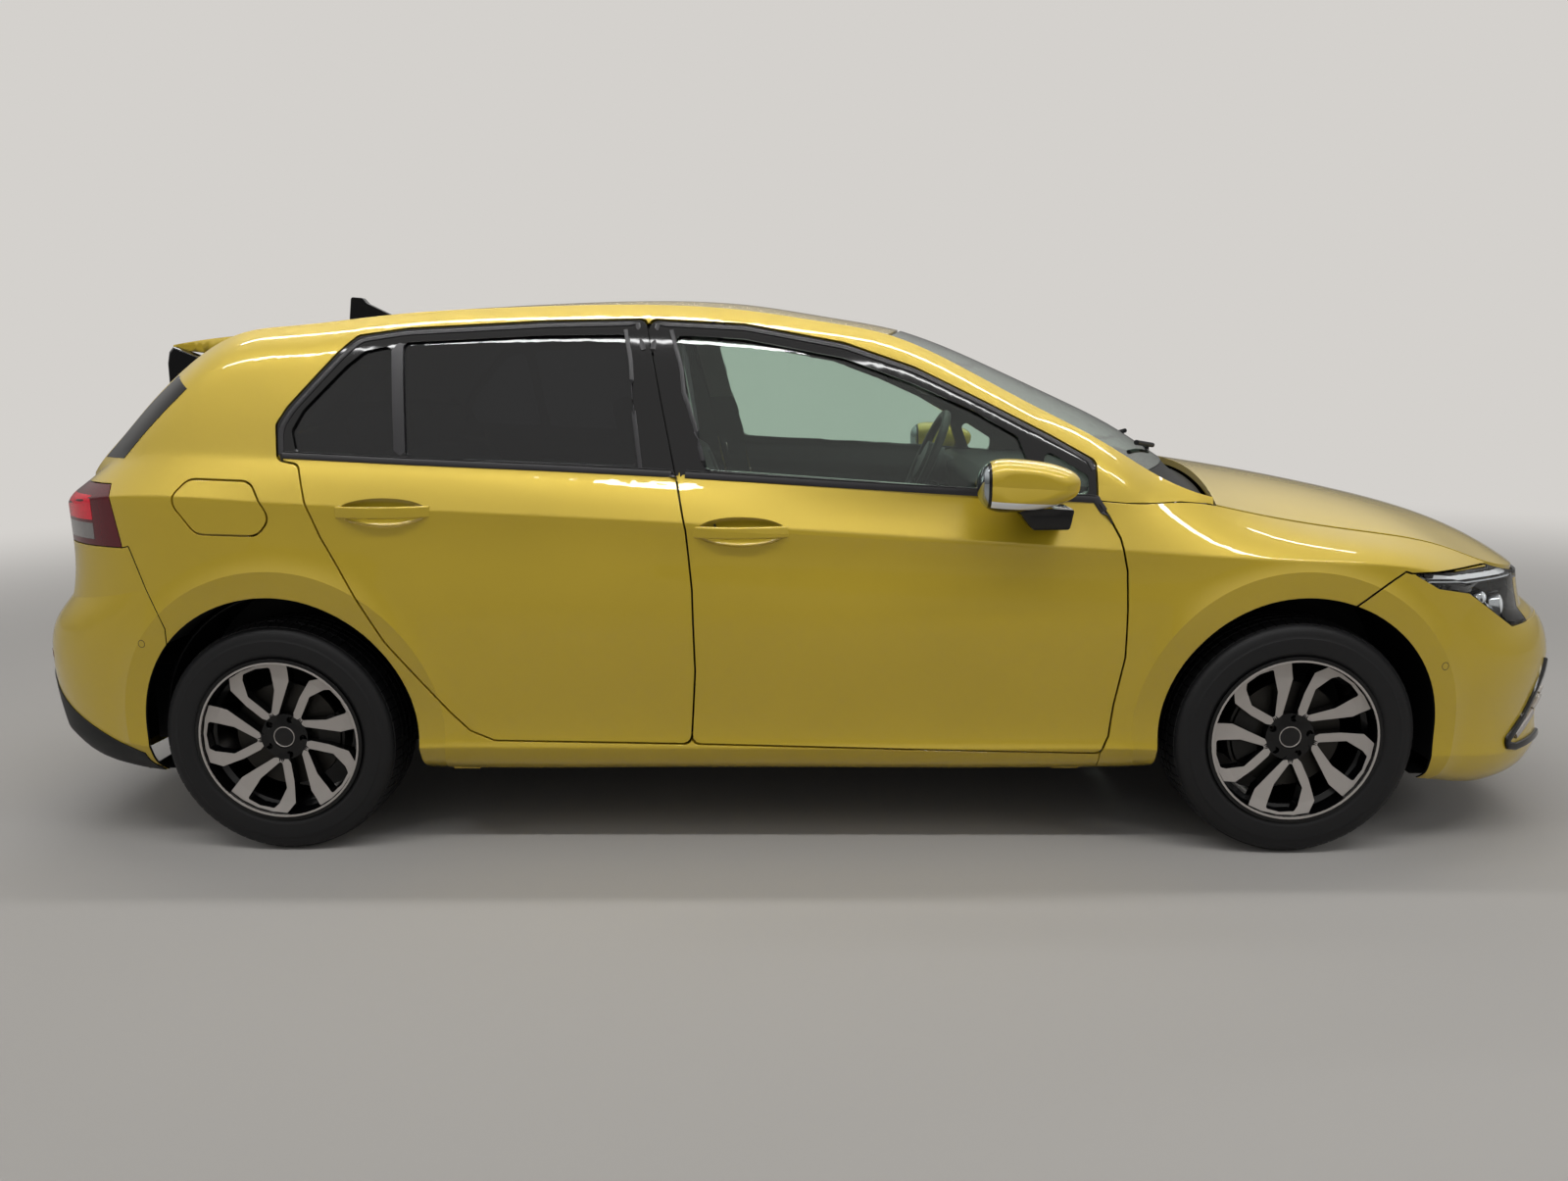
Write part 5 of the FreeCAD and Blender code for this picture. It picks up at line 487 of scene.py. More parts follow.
WHEELS = {"front_left": (1.265, 0.7745, 0.310), "front_right": (1.265, -0.7745, 0.310),
          "rear_left": (-1.371, 0.760, 0.310), "rear_right": (-1.371, -0.760, 0.310)}
HUB_FACE = 0.0640
RIM_RING = ((0.0985, 0.2068), (0.1028, 0.2068), (0.1028, 0.2118), (0.0985, 0.2118))
CAP_PROFILE = ((HUB_FACE - 0.004, 0.0001), (HUB_FACE - 0.004, 0.0285), (HUB_FACE + 0.0045, 0.0285),
               (HUB_FACE + 0.0062, 0.0275), (HUB_FACE + 0.0062, 0.0262), (HUB_FACE + 0.0050, 0.0255),
               (HUB_FACE + 0.0058, 0.0180), (HUB_FACE + 0.0062, 0.0001))
for wheel, centre in WHEELS.items():
    side = 1 if centre[1] > 0 else -1
    build_tyre(wheel, centre)

    def machined(c, n):
        radius = np.hypot(c[:, 0] - centre[0], c[:, 2] - centre[2])
        return ((n[:, 1] * side > 0.75) & (radius > 0.066) & (radius < 0.2052)
                & ((c[:, 1] - centre[1]) * side > 0.048 + 0.1 * radius))

    def disc(c, n):
        radius = np.hypot(c[:, 0] - centre[0], c[:, 2] - centre[2])
        return (radius < 0.1405) & ((c[:, 1] - centre[1]) * side < 0.0385)

    dress(f"rim_{wheel}", (lambda c, n: np.full(len(c), True), WHEEL_BLACK), (machined, ALLOY),
          (disc, GROUND_STEEL))
    verts, faces = revolve(RIM_RING, centre, side, 96)
    creased(outward(make(f"machined_rim_ring_{wheel}", verts, faces, f"wheel_{wheel}", ALLOY)))
    verts, faces = revolve(CAP_PROFILE, centre, side, 48, closed=False)
    cap = creased(outward(make(f"centre_cap_{wheel}", verts, faces, f"wheel_{wheel}", GLOSS_BLACK, ALLOY,
                               index=[1 if i % 7 in (2, 3, 4) else 0 for i in range(len(faces))])))
    verts, faces = [], []
    for k in range(5):
        turn = math.radians({"front": 118.0, "rear": 103.0}[wheel.split("_")[0]] - 36 - 72 * k)
        seat = (centre[0] - side * 0.050 * math.cos(turn), 0, centre[2] + 0.050 * math.sin(turn))
        for radius, depth in ((0.0080, 0.046), (0.0080, 0.0560), (0.0070, 0.0575), (0.0045, 0.0575),
                              (0.0045, 0.0530)):
            start = len(verts)
            verts += [(x, centre[1] + side * depth, z) for x, z in ring_of(6, radius, seat, turn)]
            if radius != 0.0080 or depth != 0.046:
                faces += [(start - 6 + i, start - 6 + (i + 1) % 6, start + (i + 1) % 6,
                           start + i) for i in range(6)]
        faces.append(tuple(range(len(verts) - 6, len(verts))))
        faces.append(tuple(range(len(verts) - 30, len(verts) - 24))[::-1])
    creased(outward(make(f"wheel_bolts_{wheel}", verts, faces, f"wheel_{wheel}", CAST)))


# Brakes. A cast caliper grips each disc ahead of or behind the axle and is held by its carrier
# on the knuckle in front and on the axle beam behind.
def arc_block(centre, inner, outer, low, high, start, end, count=10):
    """A block between two radii, two depths and two angles about the axle."""
    verts, faces = [], []
    for k in range(count + 1):
        turn = math.radians(start + (end - start) * k / count)
        for radius, depth in ((inner, low), (outer, low), (outer, high), (inner, high)):
            verts.append((centre[0] + radius * math.cos(turn), centre[1] + depth,
                          centre[2] + radius * math.sin(turn)))
    for k in range(count):
        here, there = k * 4, k * 4 + 4
        faces += [(here + i, here + (i + 1) % 4, there + (i + 1) % 4, there + i) for i in range(4)]
    faces += [(0, 1, 2, 3), tuple(range(len(verts) - 4, len(verts)))[::-1]]
    return verts, faces


for wheel, centre in WHEELS.items():
    side = 1 if centre[1] > 0 else -1
    body = f"knuckle_{wheel.split('_')[1]}" if wheel.startswith("front") else "root"
    start, end = (148, 208) if wheel.startswith("front") else (-28, 24)
    verts, faces = [], []
    for inner, outer, low, high in ((0.085, 0.149, 0.0415, 0.0520), (0.144, 0.156, -0.006, 0.0520),
                                    (0.085, 0.149, -0.012, 0.0060)):
        low, high = sorted((side * low, side * high))
        more, more_faces = arc_block(centre, inner, outer, low, high, start, end)
        faces += [tuple(len(verts) + i for i in face) for face in more_faces]
        verts += more
    creased(outward(make(f"brake_caliper_{wheel}", verts, faces, body, CAST)))


# Window trims. Satin strips frame the side windows over the door frames, and a satin seal runs
# along the waist; rubber lips seal the glass below them.
def points_of(node):
    node = nodes[node]
    points = np.empty(len(node.data.vertices) * 3)
    node.data.vertices.foreach_get("co", points)
    turn = np.array(node.matrix_world)
    return points.reshape(-1, 3) @ turn[:3, :3].T + turn[:3, 3]


def skin(*names):
    """A search tree over the faces of CAD nodes."""
    verts, faces = [], []
    for name in names:
        start = len(verts)
        verts += [tuple(p) for p in points_of(name)]
        faces += [tuple(start + i for i in face.vertices) for face in nodes[name].data.polygons]
    return BVHTree.FromPolygons(verts, faces)


def on_side(tree, x, z, side, lift=0.0):
    """The point of the body side at x and z, raised along the surface's normal, and that normal."""
    spot, normal, _, _ = tree.ray_cast(Vector((x, side * 1.4, z)), Vector((0, -side, 0)))
    if spot is None:
        spot, normal, _, _ = tree.find_nearest(Vector((x, side * 0.85, z)))
    if normal.y * side < 0:
        normal = -normal
    return spot + normal * lift, normal


def rounded_path(points, step=0.02, radius=0.02):
    """A polyline of (x, z) with its corners cut round and its runs divided."""
    smooth = [Vector(points[0])]
    for before, here, after in zip(points, points[1:], points[2:]):
        before, here, after = Vector(before), Vector(here), Vector(after)
        reach = min(radius, (before - here).length * 0.45, (after - here).length * 0.45)
        start = here + (before - here).normalized() * reach
        end = here + (after - here).normalized() * reach
        for k in range(5):
            t = k / 4
            smooth.append(start * (1 - t) ** 2 + here * 2 * t * (1 - t) + end * t * t)
    smooth.append(Vector(points[-1]))
    path = [smooth[0]]
    for point in smooth[1:]:
        run = (point - path[-1]).length
        pieces = max(1, int(run / step))
        first = path[-1]
        path += [first + (point - first) * (k + 1) / pieces for k in range(pieces)]
    return path


def strip(name, tree, path, width, height, side, body, material, lift=0.0, drape=None):
    """A rounded strip that follows a path of (x, z) over the body side."""
    drape = drape or on_side
    spots = [drape(tree, p[0], p[1], side, lift) for p in path]
    section = ((-0.5, -0.2), (-0.5, 0.55), (-0.36, 0.9), (0, 1.0), (0.36, 0.9), (0.5, 0.55), (0.5, -0.2))
    verts, faces = [], []
    for k, (spot, normal) in enumerate(spots):
        ahead = spots[min(k + 1, len(spots) - 1)][0] - spots[max(k - 1, 0)][0]
        across_strip = normal.cross(ahead).normalized()
        for u, v in section:
            verts.append(spot + across_strip * (u * width) + normal * (v * height))
    size = len(section)
    for k in range(len(spots) - 1):
        for i in range(size):
            j = (i + 1) % size
            faces.append((k * size + i, k * size + j, (k + 1) * size + j, (k + 1) * size + i))
    faces.append(tuple(range(size)))
    faces.append(tuple(range(len(verts) - size, len(verts))))
    return creased(outward(make(name, verts, faces, body, material)))


DLO_TOP = {
    "front": ((0.745, 1.024), (0.634, 1.087), (0.480, 1.167), (0.300, 1.257), (0.118, 1.321), (-0.138, 1.371),
              (-0.385, 1.386)),
    "rear": ((-0.395, 1.387), (-0.650, 1.384), (-1.012, 1.368), (-1.139, 1.351), (-1.183, 1.309),
             (-1.300, 1.176),
             (-1.326, 1.131), (-1.320, 1.046)),
}
BELT_RUNS = {"front": ((0.880, 0.912), (0.756, 0.921), (0.455, 0.943), (0.111, 0.965), (-0.285, 0.990)),
             "rear": ((-0.300, 0.991), (-0.630, 1.010), (-0.978, 1.028), (-1.308, 1.047))}
PILLAR_RUNS = {"front": ((-0.327, 1.358), (-0.223, 1.004)), "rear": ((-0.446, 1.360), (-0.399, 1.014))}
for side, word in ((1, "left"), (-1, "right")):
    for which in ("front", "rear"):
        body = f"door_{which}_{word}"
        tree = skin(body)
        path = [Vector((x, z - 0.0115)) for x, z in DLO_TOP[which]]
        if which == "rear":
            path = [Vector((x + (0.010 if z < 1.36 else 0.0), z - 0.0115)) for x, z in DLO_TOP[which]]
        strip(f"window_frame_trim_{body}", tree, rounded_path(path), 0.013, 0.0028, side, body, SATIN_BLACK)
        strip(f"pillar_trim_{body}", tree, rounded_path(PILLAR_RUNS[which]), 0.011, 0.0024, side, body,
              SATIN_BLACK)
        path = [Vector((x, z + 0.0080)) for x, z in BELT_RUNS[which]]
        strip(f"waist_seal_{body}", tree, rounded_path(path), 0.0200, 0.0036, side, body, SATIN_BLACK)
        strip(f"waist_lip_{body}", tree, rounded_path([p + Vector((0, 0.0075)) for p in path]), 0.0035,
              0.0052, side,
              body, RUBBER)



# Door mirrors. A lacquered cap over a black lower shell with a clear turn signal between them,
# and the glass in a bezel at the back; the foot stands on the door below the corner window.
def copied(name, keep=None):
    """A CAD node's mesh as a merged bmesh in the row frame, all of it or the faces that pass a test."""
    node = nodes[name]
    bm = bmesh.new()
    bm.from_mesh(node.data)
    bm.transform(node.matrix_world)
    bmesh.ops.remove_doubles(bm, verts=bm.verts, dist=2e-6)
    if keep:
        gone = [face for face in bm.faces if not keep(face.calc_center_median(), face.normal)]
        bmesh.ops.delete(bm, geom=gone, context="FACES")
    return bm


def placed(name, bm, body, *materials, smooth=True):
    """Makes a piece of a bmesh."""
    mesh = bpy.data.meshes.new(name)
    for face in bm.faces:
        face.smooth = smooth
    bm.to_mesh(mesh)
    bm.free()
    for material in materials:
        mesh.materials.append(material)
    piece = bpy.data.objects.new(name, mesh)
    bpy.context.scene.collection.objects.link(piece)
    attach(piece, body)
    return piece


def score(bm, spot, normal):
    """Cuts the faces of a bmesh along a plane."""
    bmesh.ops.bisect_plane(bm, geom=bm.verts[:] + bm.edges[:] + bm.faces[:], plane_co=spot, plane_no=normal,
                           dist=1e-6)


MIRROR_GLASS = finish("mirror_glass", "#B9C0C4", 0.02, metallic=1.0, tone=0.01)
for word in ("left", "right"):
    bm = copied(f"mirror_{word}")
    for spot, normal in (((0, 0, 0.973), (0.06, 0, 1)), ((0, 0, 0.957), (0.06, 0, 1)), ((0.449, 0, 0),
                                                                                        (1, 0, 0)),
                         ((0.456, 0, 0), (1, 0, 0)), ((0, 0, 0.902), (0, 0, 1))):
        score(bm, spot, normal)
    for face in bm.faces:
        spot = face.calc_center_median()
        height = spot.z + 0.06 * spot.x
        reach = abs(spot.y)
        if spot.x < 0.449 and reach > 0.91:
            face.material_index = 3
        elif spot.x < 0.456 or height < 0.957 or reach < 0.912:
            face.material_index = 1
        elif height < 0.973:
            face.material_index = 2
        else:
            face.material_index = 0
    shell = placed(f"door_mirror_{word}", bm, f"door_front_{word}", LACQUER, GLOSS_BLACK, WHITE_LENS,
                   MIRROR_GLASS)
    creased(shell, 40)
    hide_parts(f"mirror_{word}")


# Headlamps. A clear cover over a black housing with a light guide along its top and two projectors.
def on_corner(tree, degrees, z, side, lift=0.0, hub=(1.35, 0.30)):
    """The point of a rounded corner of the body seen from a hub inside it, and the normal there."""
    turn = math.radians(degrees)
    ahead = 1 if hub[0] > 0 else -1
    away = Vector((ahead * math.cos(turn), side * math.sin(turn), 0))
    core = Vector((hub[0], side * hub[1], z))
    spot, normal, _, _ = tree.ray_cast(core + away * 1.6, -away)
    if spot is None:
        spot, normal, _, _ = tree.find_nearest(core + away * 0.6)
    if normal.dot(away) < 0:
        normal = -normal
    return spot + normal * lift, normal


def patch(name, spots, thickness, body, material):
    """A thin plate over rows of (point, normal)."""
    rows, columns = len(spots), len(spots[0])
    verts = [spot for row in spots for spot, _ in row]
    verts += [spot - normal * thickness for row in spots for spot, normal in row]
    size = rows * columns
    faces = []
    for i in range(rows - 1):
        for j in range(columns - 1):
            a, d = i * columns + j, (i + 1) * columns + j
            b, c = a + 1, d + 1
            faces += [(a, b, c, d), (a + size, d + size, c + size, b + size)]
    rim = [j for j in range(columns)] + [i * columns + columns - 1 for i in range(1, rows)]
    rim += [(rows - 1) * columns + j for j in range(columns - 2, -1, -1)]
    rim += [i * columns for i in range(rows - 2, 0, -1)]
    faces += [(a, a + size, b + size, b) for a, b in zip(rim, rim[1:] + rim[:1])]
    return creased(outward(make(name, verts, faces, body, material)))


def corner_patch(name, tree, start, end, bottom, top, side, lift, thickness, body, material, hub,
                 columns=18, rows=5):
    """A plate on a rounded corner between two angles; bottom and top give z at a share of the way."""
    spots = []
    for i in range(rows):
        row = []
        for j in range(columns):
            share = j / (columns - 1)
            low, high = bottom(share), top(share)
            row.append(on_corner(tree, start + (end - start) * share, low + (high - low) * i / (rows - 1),
                                 side, lift,
                                 hub))
        spots.append(row)
    return patch(name, spots, thickness, body, material)


def tube_along(name, centre, axis, sections, body, *materials, count=32, index=None):
    """A turned piece: sections are (place along the axis, radius)."""
    axis = axis.normalized()
    first = axis.orthogonal().normalized()
    second = axis.cross(first)
    verts, faces = [], []
    for along_axis, radius in sections:
        for k in range(count):
            turn = 2 * math.pi * k / count
            spoke = first * math.cos(turn) + second * math.sin(turn)
            verts.append(centre + axis * along_axis + spoke * radius)
    for i in range(len(sections) - 1):
        for k in range(count):
            faces.append((i * count + k, i * count + (k + 1) % count, (i + 1) * count + (k + 1) % count,
                          (i + 1) * count + k))
    faces += [tuple(range(count)), tuple(range((len(sections) - 1) * count, len(sections) * count))]
    return creased(outward(make(name, verts, faces, body, *materials, index=index)))


NOSE_HUB = (1.35, 0.30)
LAMP_HUB = Vector((1.2, 0.0, 0.62))
# Inboard of this turn about the hub and below this height the cover is a lacquered panel
LENS_EDGE = math.radians(33)
LENS_STEP = 0.688


def faces_front(spot, normal):
    away = spot - LAMP_HUB
    return normal.dot(away.normalized()) > 0.30


lamp_tree = skin("headlamps")
cover_bm = copied("headlamps", faces_front)
bmesh.ops.solidify(cover_bm, geom=cover_bm.faces[:], thickness=0.0022)
bmesh.ops.recalc_face_normals(cover_bm, faces=cover_bm.faces)
for side in (1, -1):
    score(cover_bm, (NOSE_HUB[0], side * NOSE_HUB[1], 0), (-math.sin(LENS_EDGE), side * math.cos(LENS_EDGE),
                                                           0))
score(cover_bm, (0, 0, LENS_STEP), (0, 0, 1))
for face in cover_bm.faces:
    spot = face.calc_center_median()
    turn = math.atan2(abs(spot.y) - NOSE_HUB[1], spot.x - NOSE_HUB[0])
    face.material_index = 1 if turn < LENS_EDGE and spot.z < LENS_STEP else 0
lamp_covers = placed("headlamp_covers", cover_bm, "root", LENS, LACQUER)
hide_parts("headlamps")
housing_bm = copied("headlamps", lambda spot, normal: not faces_front(spot, normal))
lamp_housings = placed("headlamp_housings", housing_bm, "root", GLOSS_BLACK)
for side, word in ((1, "left"), (-1, "right")):
    corner_patch(f"daylight_guide_{word}", lamp_tree, 70, 14, lambda t: 0.7255 - 0.026 * t,
                 lambda t: 0.7355 - 0.022 * t,
                 side, -0.006, 0.006, "root", WHITE_LENS, NOSE_HUB, columns=40, rows=3)
    corner_patch(f"daylight_trim_{word}", lamp_tree, 71, 12, lambda t: 0.7175 - 0.030 * t,
                 lambda t: 0.7205 - 0.028 * t,
                 side, -0.006, 0.006, "root", CHROME, NOSE_HUB, columns=40, rows=3)
    corner_patch(f"lamp_brow_{word}", lamp_tree, 71, 12, lambda t: 0.7380 - 0.018 * t,
                 lambda t: 0.7500 - 0.016 * t,
                 side, -0.004, 0.010, "root", GLOSS_BLACK, NOSE_HUB, columns=40, rows=3)
    for number, (degrees, z, radius) in enumerate(((40, 0.637, 0.031), (49, 0.668, 0.017))):
        spot, normal = on_corner(lamp_tree, degrees, z, side, -0.026, NOSE_HUB)
        ahead = (normal + Vector((0.7, 0, 0))).normalized()
        tube_along(f"projector_bezel_{word}_{number}", spot, ahead,
                   ((-0.020, radius * 1.12), (0.004, radius * 1.18), (0.004, radius * 1.06),
                    (-0.004, radius)), "root",
                   CHROME)
        tube_along(f"projector_lens_{word}_{number}", spot, ahead,
                   ((-0.004, radius * 0.98), (0.004, radius * 0.92), (0.009, radius * 0.7),
                    (0.012, radius * 0.35),
                    (0.0125, 0.0004)), "root", WHITE_LENS)

# Tail lamps. Dark red covers across the body and the tailgate, with a bright red block and a grey
# reversing block on each side of the joint.
TAIL_HUB = (-1.45, 0.30)
# The inner and outer edges of the black panel beside the rear window, each from its top to its foot
REAR_PANEL_INNER = ((-1.572, 1.222), (-1.750, 1.046))
REAR_PANEL_OUTER = ((-1.622, 1.256), (-1.850, 1.044))
tail_tree, hatch_tree = skin("tail_lamps"), skin("tailgate_lamps")
for side, word in ((1, "left"), (-1, "right")):
    frame_tree = skin(f"side_frame_{word}")
    spots = []
    for i in range(9):
        head, foot = (Vector(inner).lerp(Vector(outer), i / 8)
                      for inner, outer in zip(REAR_PANEL_INNER, REAR_PANEL_OUTER))
        row = [head.lerp(foot, k / 15) for k in range(16)]
        spots.append([on_side(frame_tree, spot.x, spot.y, side, 0.0012) for spot in row])
    patch(f"rear_window_panel_{word}", spots, 0.002, "root", GLOSS_BLACK)
    for place, tree, body, start, end in (("quarter", tail_tree, "root", 53, 37.5),
                                          ("hatch", hatch_tree, "tailgate", 33.5, 17)):
        corner_patch(f"stop_lamp_{place}_{word}", tree, start, end, lambda t: 0.890, lambda t: 0.954, side,
                     0.0007,
                     0.003, body, BRIGHT_RED, TAIL_HUB, rows=7)
        corner_patch(f"reverse_lamp_{place}_{word}", tree, start, end, lambda t: 0.840, lambda t: 0.882,
                     side, 0.0007,
                     0.003, body, SMOKED_LENS, TAIL_HUB, rows=5)

# Roof spoiler. A lacquered lip that carries the roof on, with gloss black blades beneath its ends
# that lead the air round the rear window.
def widest(bm):
    """Keeps the largest connected shell of a bmesh."""
    left = set(bm.faces)
    shells = []
    while left:
        stack = [left.pop()]
        shell = list(stack)
        while stack:
            for edge in stack.pop().edges:
                for face in edge.link_faces:
                    if face in left:
                        left.remove(face)
                        stack.append(face)
                        shell.append(face)
        shells.append(shell)
    shells.sort(key=lambda found: -sum(face.calc_area() for face in found))
    bmesh.ops.delete(bm, geom=[face for shell in shells[1:] for face in shell], context="FACES")
    return bm


spoiler = placed("roof_spoiler_lip", widest(copied("roof_spoiler")), "tailgate", LACQUER, smooth=True)
creased(spoiler)
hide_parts("roof_spoiler")
BLADE = ((-1.690, 1.333), (-1.702, 1.320), (-1.709, 1.290), (-1.711, 1.203), (-1.703, 1.200), (-1.620, 1.276),
         (-1.600, 1.298))
for side, word in ((1, "left"), (-1, "right")):
    verts, faces = [], []
    for reach, lean in ((0.560, 0.0), (0.592, 0.002), (0.597, 0.006)):
        verts += [(x + lean, side * reach, z - lean) for x, z in BLADE]
    count = len(BLADE)
    for k in range(2):
        faces += [(k * count + i, k * count + (i + 1) % count, (k + 1) * count + (i + 1) % count,
                   (k + 1) * count + i)
                  for i in range(count)]
    faces += [tuple(range(count)), tuple(range(2 * count, 3 * count))]
    creased(outward(make(f"spoiler_blade_{word}", verts, faces, "tailgate", GLOSS_BLACK)))

# Rear wiper and third brake lamp. The arm turns on a spindle through the foot of the rear window and parks
# to one side; the lamp is let into the edge of the spoiler.
def on_back(tree, y, z, side, lift=0.0):
    """The point of the tail at y and z, raised along the surface's normal, and that normal."""
    spot, normal, _, _ = tree.ray_cast(Vector((-2.4, side * y, z)), Vector((1, 0, 0)))
    if spot is None:
        spot, normal, _, _ = tree.find_nearest(Vector((-1.8, side * y, z)))
    if normal.x > 0:
        normal = -normal
    return spot + normal * lift, normal


glass_tree, lip_tree = skin("tailgate_glass"), skin("roof_spoiler")
WIPER_ARM = ((0.0, 1.072), (0.06, 1.082), (0.26, 1.100))
WIPER_BLADE = ((0.09, 1.106), (0.43, 1.104))
BRAKE_LAMP = ((-0.15, 1.350), (0.15, 1.350))
strip("rear_wiper_arm", glass_tree, rounded_path(WIPER_ARM), 0.016, 0.010, 1, "tailgate", SATIN_BLACK,
      0.006, on_back)
strip("rear_wiper_blade", glass_tree, rounded_path(WIPER_BLADE), 0.010, 0.008, 1, "tailgate", RUBBER,
      0.0005, on_back)
spot, normal = on_back(glass_tree, *WIPER_ARM[0], 1)
tube_along("rear_wiper_spindle", spot, normal, ((-0.002, 0.016), (0.014, 0.016), (0.018, 0.012),
                                                (0.018, 0.0004)),
           "tailgate", SATIN_BLACK, count=24)
strip("third_brake_lamp", lip_tree, rounded_path(BRAKE_LAMP), 0.011, 0.0022, 1, "tailgate", BRIGHT_RED, 0.0,
      on_back)

# Bumper fittings. Black air-guide frames with bright blades at the front corners, and flush parking sensors.
bumper_tree = skin("front_bumper", "grille_panels", "front_wings")
tail_bumper_tree = skin("rear_bumper", "rear_diffuser")
# Panels that close the bumpers below and behind the rear wheels: place, front and back x, inner and outer y,
# bottom and top
UNDERTRAYS = (("front", 1.760, 1.605, 0.020, 0.790, 0.192, 0.195),
              ("rear", -1.700, -1.775, 0.505, 0.780, 0.206, 0.209),
              ("rear_inner", -1.690, -1.900, 0.505, 0.508, 0.206, 0.430))


def nose_drape(tree, degrees, z, side, lift):
    return on_corner(tree, degrees, z, side, lift, NOSE_HUB)


for side, word in ((1, "left"), (-1, "right")):
    frame_path = [Vector(p) for p in ((29.5, 0.470), (34.3, 0.394), (37.9, 0.334), (43.6, 0.281),
                                      (43.4, 0.266),
                                      (40.8, 0.258), (28.0, 0.262))]
    path = []
    for here, there in zip(frame_path, frame_path[1:]):
        path += [here + (there - here) * k / 6 for k in range(6)]
    path.append(frame_path[-1])
    strip(f"air_guide_frame_{word}", bumper_tree, path, 0.020, 0.008, side, "root", GLOSS_BLACK, 0.0005,
          nose_drape)
    for number, (z, first, last, width) in enumerate(((0.404, 29.0, 32.0, 0.008), (0.376, 29.0, 33.8, 0.008),
                                                (0.336, 33.5, 41.0, 0.020))):
        path = [Vector((first + (last - first) * k / 8,
                        z - 0.0065 * (last - first) * k / 8)) for k in range(9)]
        strip(f"air_guide_blade_{word}_{number}", bumper_tree, path, width, 0.009, side, "root", ALLOY,
              0.0005,
              nose_drape)
    corner_patch(f"diffuser_wing_{word}", tail_bumper_tree, 62, 28, lambda t: 0.205,
                 lambda t: 0.272 + 0.19 * t ** 1.25,
                 side, 0.0030, 0.005, "root", BLACK_PLASTIC, TAIL_HUB, columns=44, rows=14)
    corner_patch(f"rear_reflector_{word}", tail_bumper_tree, 34, 22, lambda t: 0.500, lambda t: 0.516, side,
                 0.0010,
                 0.003, "root", RED_LENS, TAIL_HUB, rows=3)
    for place, front, back, near, far, low, high in UNDERTRAYS:
        verts = [(x, side * y, z) for z in (low, high) for x, y in
                 ((front, near), (front, far), (back, far), (back, near))]
        faces = [(0, 1, 2, 3), (4, 5, 6, 7)] + [(i, (i + 1) % 4, (i + 1) % 4 + 4, i + 4) for i in range(4)]
        outward(make(f"{place}_undertray_{word}", verts, faces, "root", BLACK_PLASTIC, smooth=False))
    for tree, x, z, place in ((bumper_tree, 1.627, 0.504, "front"), (tail_bumper_tree, -1.701, 0.575,
                                                                     "rear")):
        path = [Vector((x + 0.0095 * math.cos(math.tau * k / 24), z + 0.0095 * math.sin(math.tau * k / 24)))
                for k in range(25)]
        strip(f"parking_sensor_ring_{place}_{word}", tree, path, 0.0016, 0.0004, side, "root", RUBBER)

# Seats. Foam pads in charcoal cloth with raised side bolsters, sewn into panels, on painted frames;
# each pad is cut as a block and blown up under its cover.
def prism(profile, low, high):
    """A block between two places across the car from an outline of (x, z)."""
    count = len(profile)
    verts = [(x, low, z) for x, z in profile] + [(x, high, z) for x, z in profile]
    faces = [(i, (i + 1) % count, (i + 1) % count + count, i + count) for i in range(count)]
    return verts, faces + [tuple(range(count)), tuple(range(2 * count - 1, count - 1, -1))]


def shrink(profile, inset):
    """The outline moved inwards."""
    middle = sum((Vector(p) for p in profile), Vector((0, 0))) / len(profile)
    return [tuple(Vector(p) - (Vector(p) - middle).normalized() * inset) for p in profile]


def side_share(x, z):
    """A point of the side view from shares of the wheelbase and the height."""
    return (-1.371 + 2.636 * x if x >= 0 else -1.371 + 0.771 * x, 1.456 * z)


def upholster(name, blocks, voxel, body, *materials, frames=14, cap=0.012):
    """Merges blocks, blows them up as a cover over foam and rounds them off."""
    verts, faces = [], []
    for block_verts, block_faces in blocks:
        faces += [tuple(len(verts) + i for i in face) for face in block_faces]
        verts += block_verts
    mesh = bpy.data.meshes.new(name)
    mesh.from_pydata([tuple(map(float, v)) for v in verts], [], faces)
    pad = bpy.data.objects.new(name, mesh)
    bpy.context.scene.collection.objects.link(pad)
    outward(pad)
    remesh = pad.modifiers.new("cover", "REMESH")
    remesh.mode = "VOXEL"
    remesh.voxel_size = voxel
    relax = pad.modifiers.new("relax", "SMOOTH")
    relax.iterations = 6
    baked = bpy.data.meshes.new_from_object(pad.evaluated_get(bpy.context.evaluated_depsgraph_get()))
    pad.modifiers.clear()
    pad.data = baked
    before = np.empty(len(baked.vertices) * 3)
    baked.vertices.foreach_get("co", before)
    before = before.reshape(-1, 3)
    cloth = pad.modifiers.new("stuffing", "CLOTH")
    cloth.settings.use_pressure = True
    cloth.settings.uniform_pressure_force = 4.0
    cloth.settings.effector_weights.gravity = 0.0
    for moment in range(1, frames + 1):
        bpy.context.scene.frame_set(moment)
    swollen = bpy.data.meshes.new_from_object(pad.evaluated_get(bpy.context.evaluated_depsgraph_get()))
    after = np.empty(len(swollen.vertices) * 3)
    swollen.vertices.foreach_get("co", after)
    move = after.reshape(-1, 3) - before
    length = np.linalg.norm(move, axis=1, keepdims=True)
    move *= np.minimum(1.0, cap / np.maximum(length, 1e-9))
    swollen.vertices.foreach_set("co", (before + move).ravel())
    pad.modifiers.clear()
    pad.data = swollen
    bpy.context.scene.frame_set(1)
    for material in materials:
        swollen.materials.append(material)
    swollen.polygons.foreach_set("use_smooth", np.full(len(swollen.polygons), True))
    swollen.update()
    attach(pad, body)
    return pad


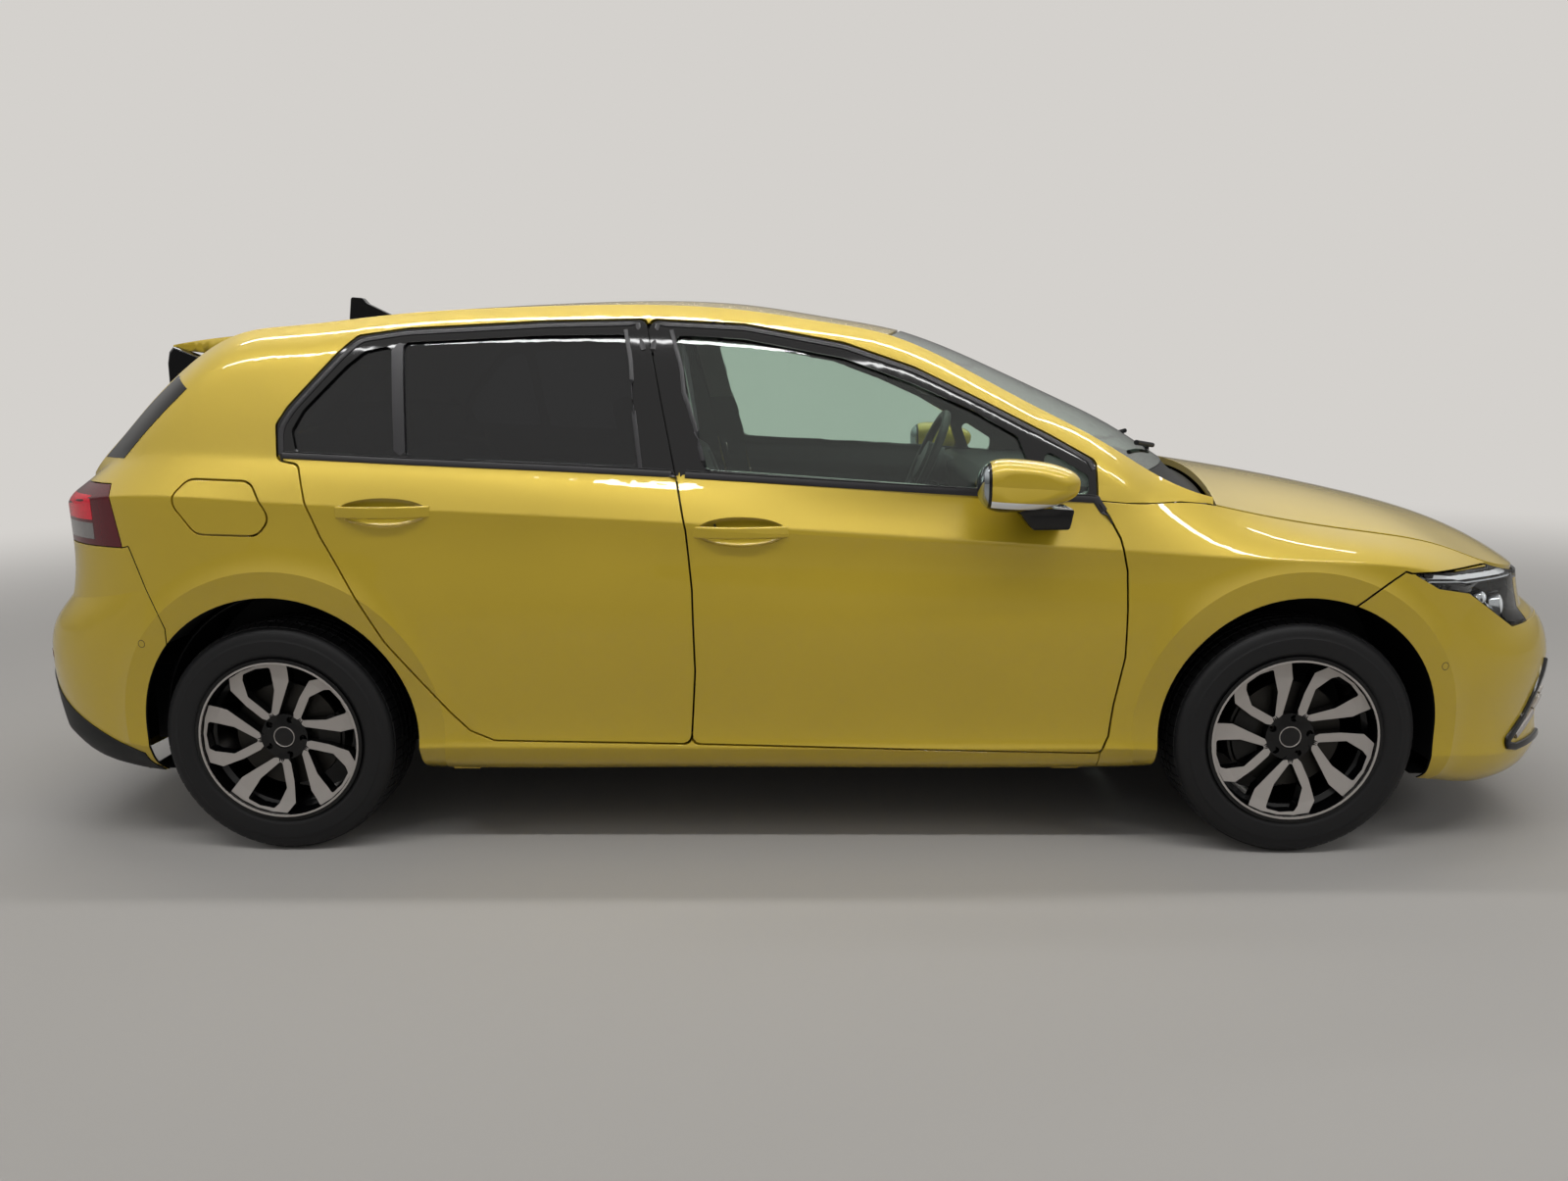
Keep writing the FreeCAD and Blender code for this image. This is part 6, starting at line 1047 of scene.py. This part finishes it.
# The interior mirror hangs from the windscreen on a short stalk
MIRROR_HEAD = ((0.430, 1.285), (0.452, 1.285), (0.462, 1.222), (0.440, 1.218))
MIRROR_STALK = ((0.445, 1.262), (0.455, 1.276), (0.552, 1.268), (0.540, 1.256))
for name, profile, reach, material in (("interior_mirror", MIRROR_HEAD, 0.115, BLACK_PLASTIC),
                                       ("interior_mirror_stalk", MIRROR_STALK, 0.012, BLACK_PLASTIC)):
    creased(outward(make(name, *prism(profile, -reach, reach), "root", material)))

CUSHION = [side_share(x, z) for x, z in ((0.63, 0.275), (0.64, 0.33), (0.60, 0.345), (0.44, 0.305),
                                         (0.43, 0.25),
                                         (0.46, 0.225))]
BACKREST = [side_share(x, z) for x, z in ((0.46, 0.31), (0.43, 0.262), (0.40, 0.27), (0.335, 0.69),
                                          (0.362, 0.70),
                                          (0.385, 0.675))]
HEADREST = [side_share(x, z) for x, z in ((0.332, 0.715), (0.322, 0.80), (0.335, 0.815), (0.358, 0.80),
                                          (0.364, 0.72))]
SEAT_MIDDLE = 0.3712


def lowered(profile, drop):
    """The outline with its top side taken down."""
    top = max(z for _, z in profile)
    middle = (top + min(z for _, z in profile)) / 2
    return [(x, z - drop if z > middle else z) for x, z in profile]


for sign, word in ((1, "left"), (-1, "right")):
    middle = sign * SEAT_MIDDLE
    blocks = []
    for low, high, drop in ((-0.222, -0.150, 0.0), (-0.142, 0.142, 0.018), (0.150, 0.222, 0.0)):
        blocks.append(prism(shrink(lowered(CUSHION, drop), 0.010), middle + low, middle + high))
        back = [(x - (drop if x > -0.36 and z > 0.6 else 0), z) for x, z in BACKREST]
        blocks.append(prism(shrink(back, 0.010), middle + low * 0.96, middle + high * 0.96))
    blocks.append(prism(shrink(HEADREST, 0.008), middle - 0.110, middle + 0.110))
    upholster(f"front_seat_pad_{word}", blocks, 0.008, "root", CLOTH)
REAR_CUSHION = [side_share(x, z) for x, z in ((0.305, 0.3698), (0.315, 0.43), (0.29, 0.45), (0.12, 0.425),
                                              (0.12, 0.3698))]
REAR_BACK = [side_share(x, z) for x, z in ((0.155, 0.41), (0.12, 0.3698), (0.085, 0.3698), (0.035, 0.70),
                                           (0.055, 0.72), (0.085, 0.70))]
REAR_HEADREST = [side_share(x, z) for x, z in ((0.03, 0.715), (0.022, 0.79), (0.055, 0.795), (0.065, 0.72))]
blocks = []
for low, high in ((-0.545, -0.190), (-0.182, 0.182), (0.190, 0.545)):
    blocks.append(prism(shrink(REAR_CUSHION, 0.010), low, high))
    blocks.append(prism(shrink(REAR_BACK, 0.010), low, high))
for middle in (-0.3326, 0.0, 0.3326):
    blocks.append(prism(shrink(REAR_HEADREST, 0.008), middle - 0.110, middle + 0.110))
rear_pads = upholster("rear_bench_pads", blocks, 0.010, "root", CLOTH)
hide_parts("rear_seat")
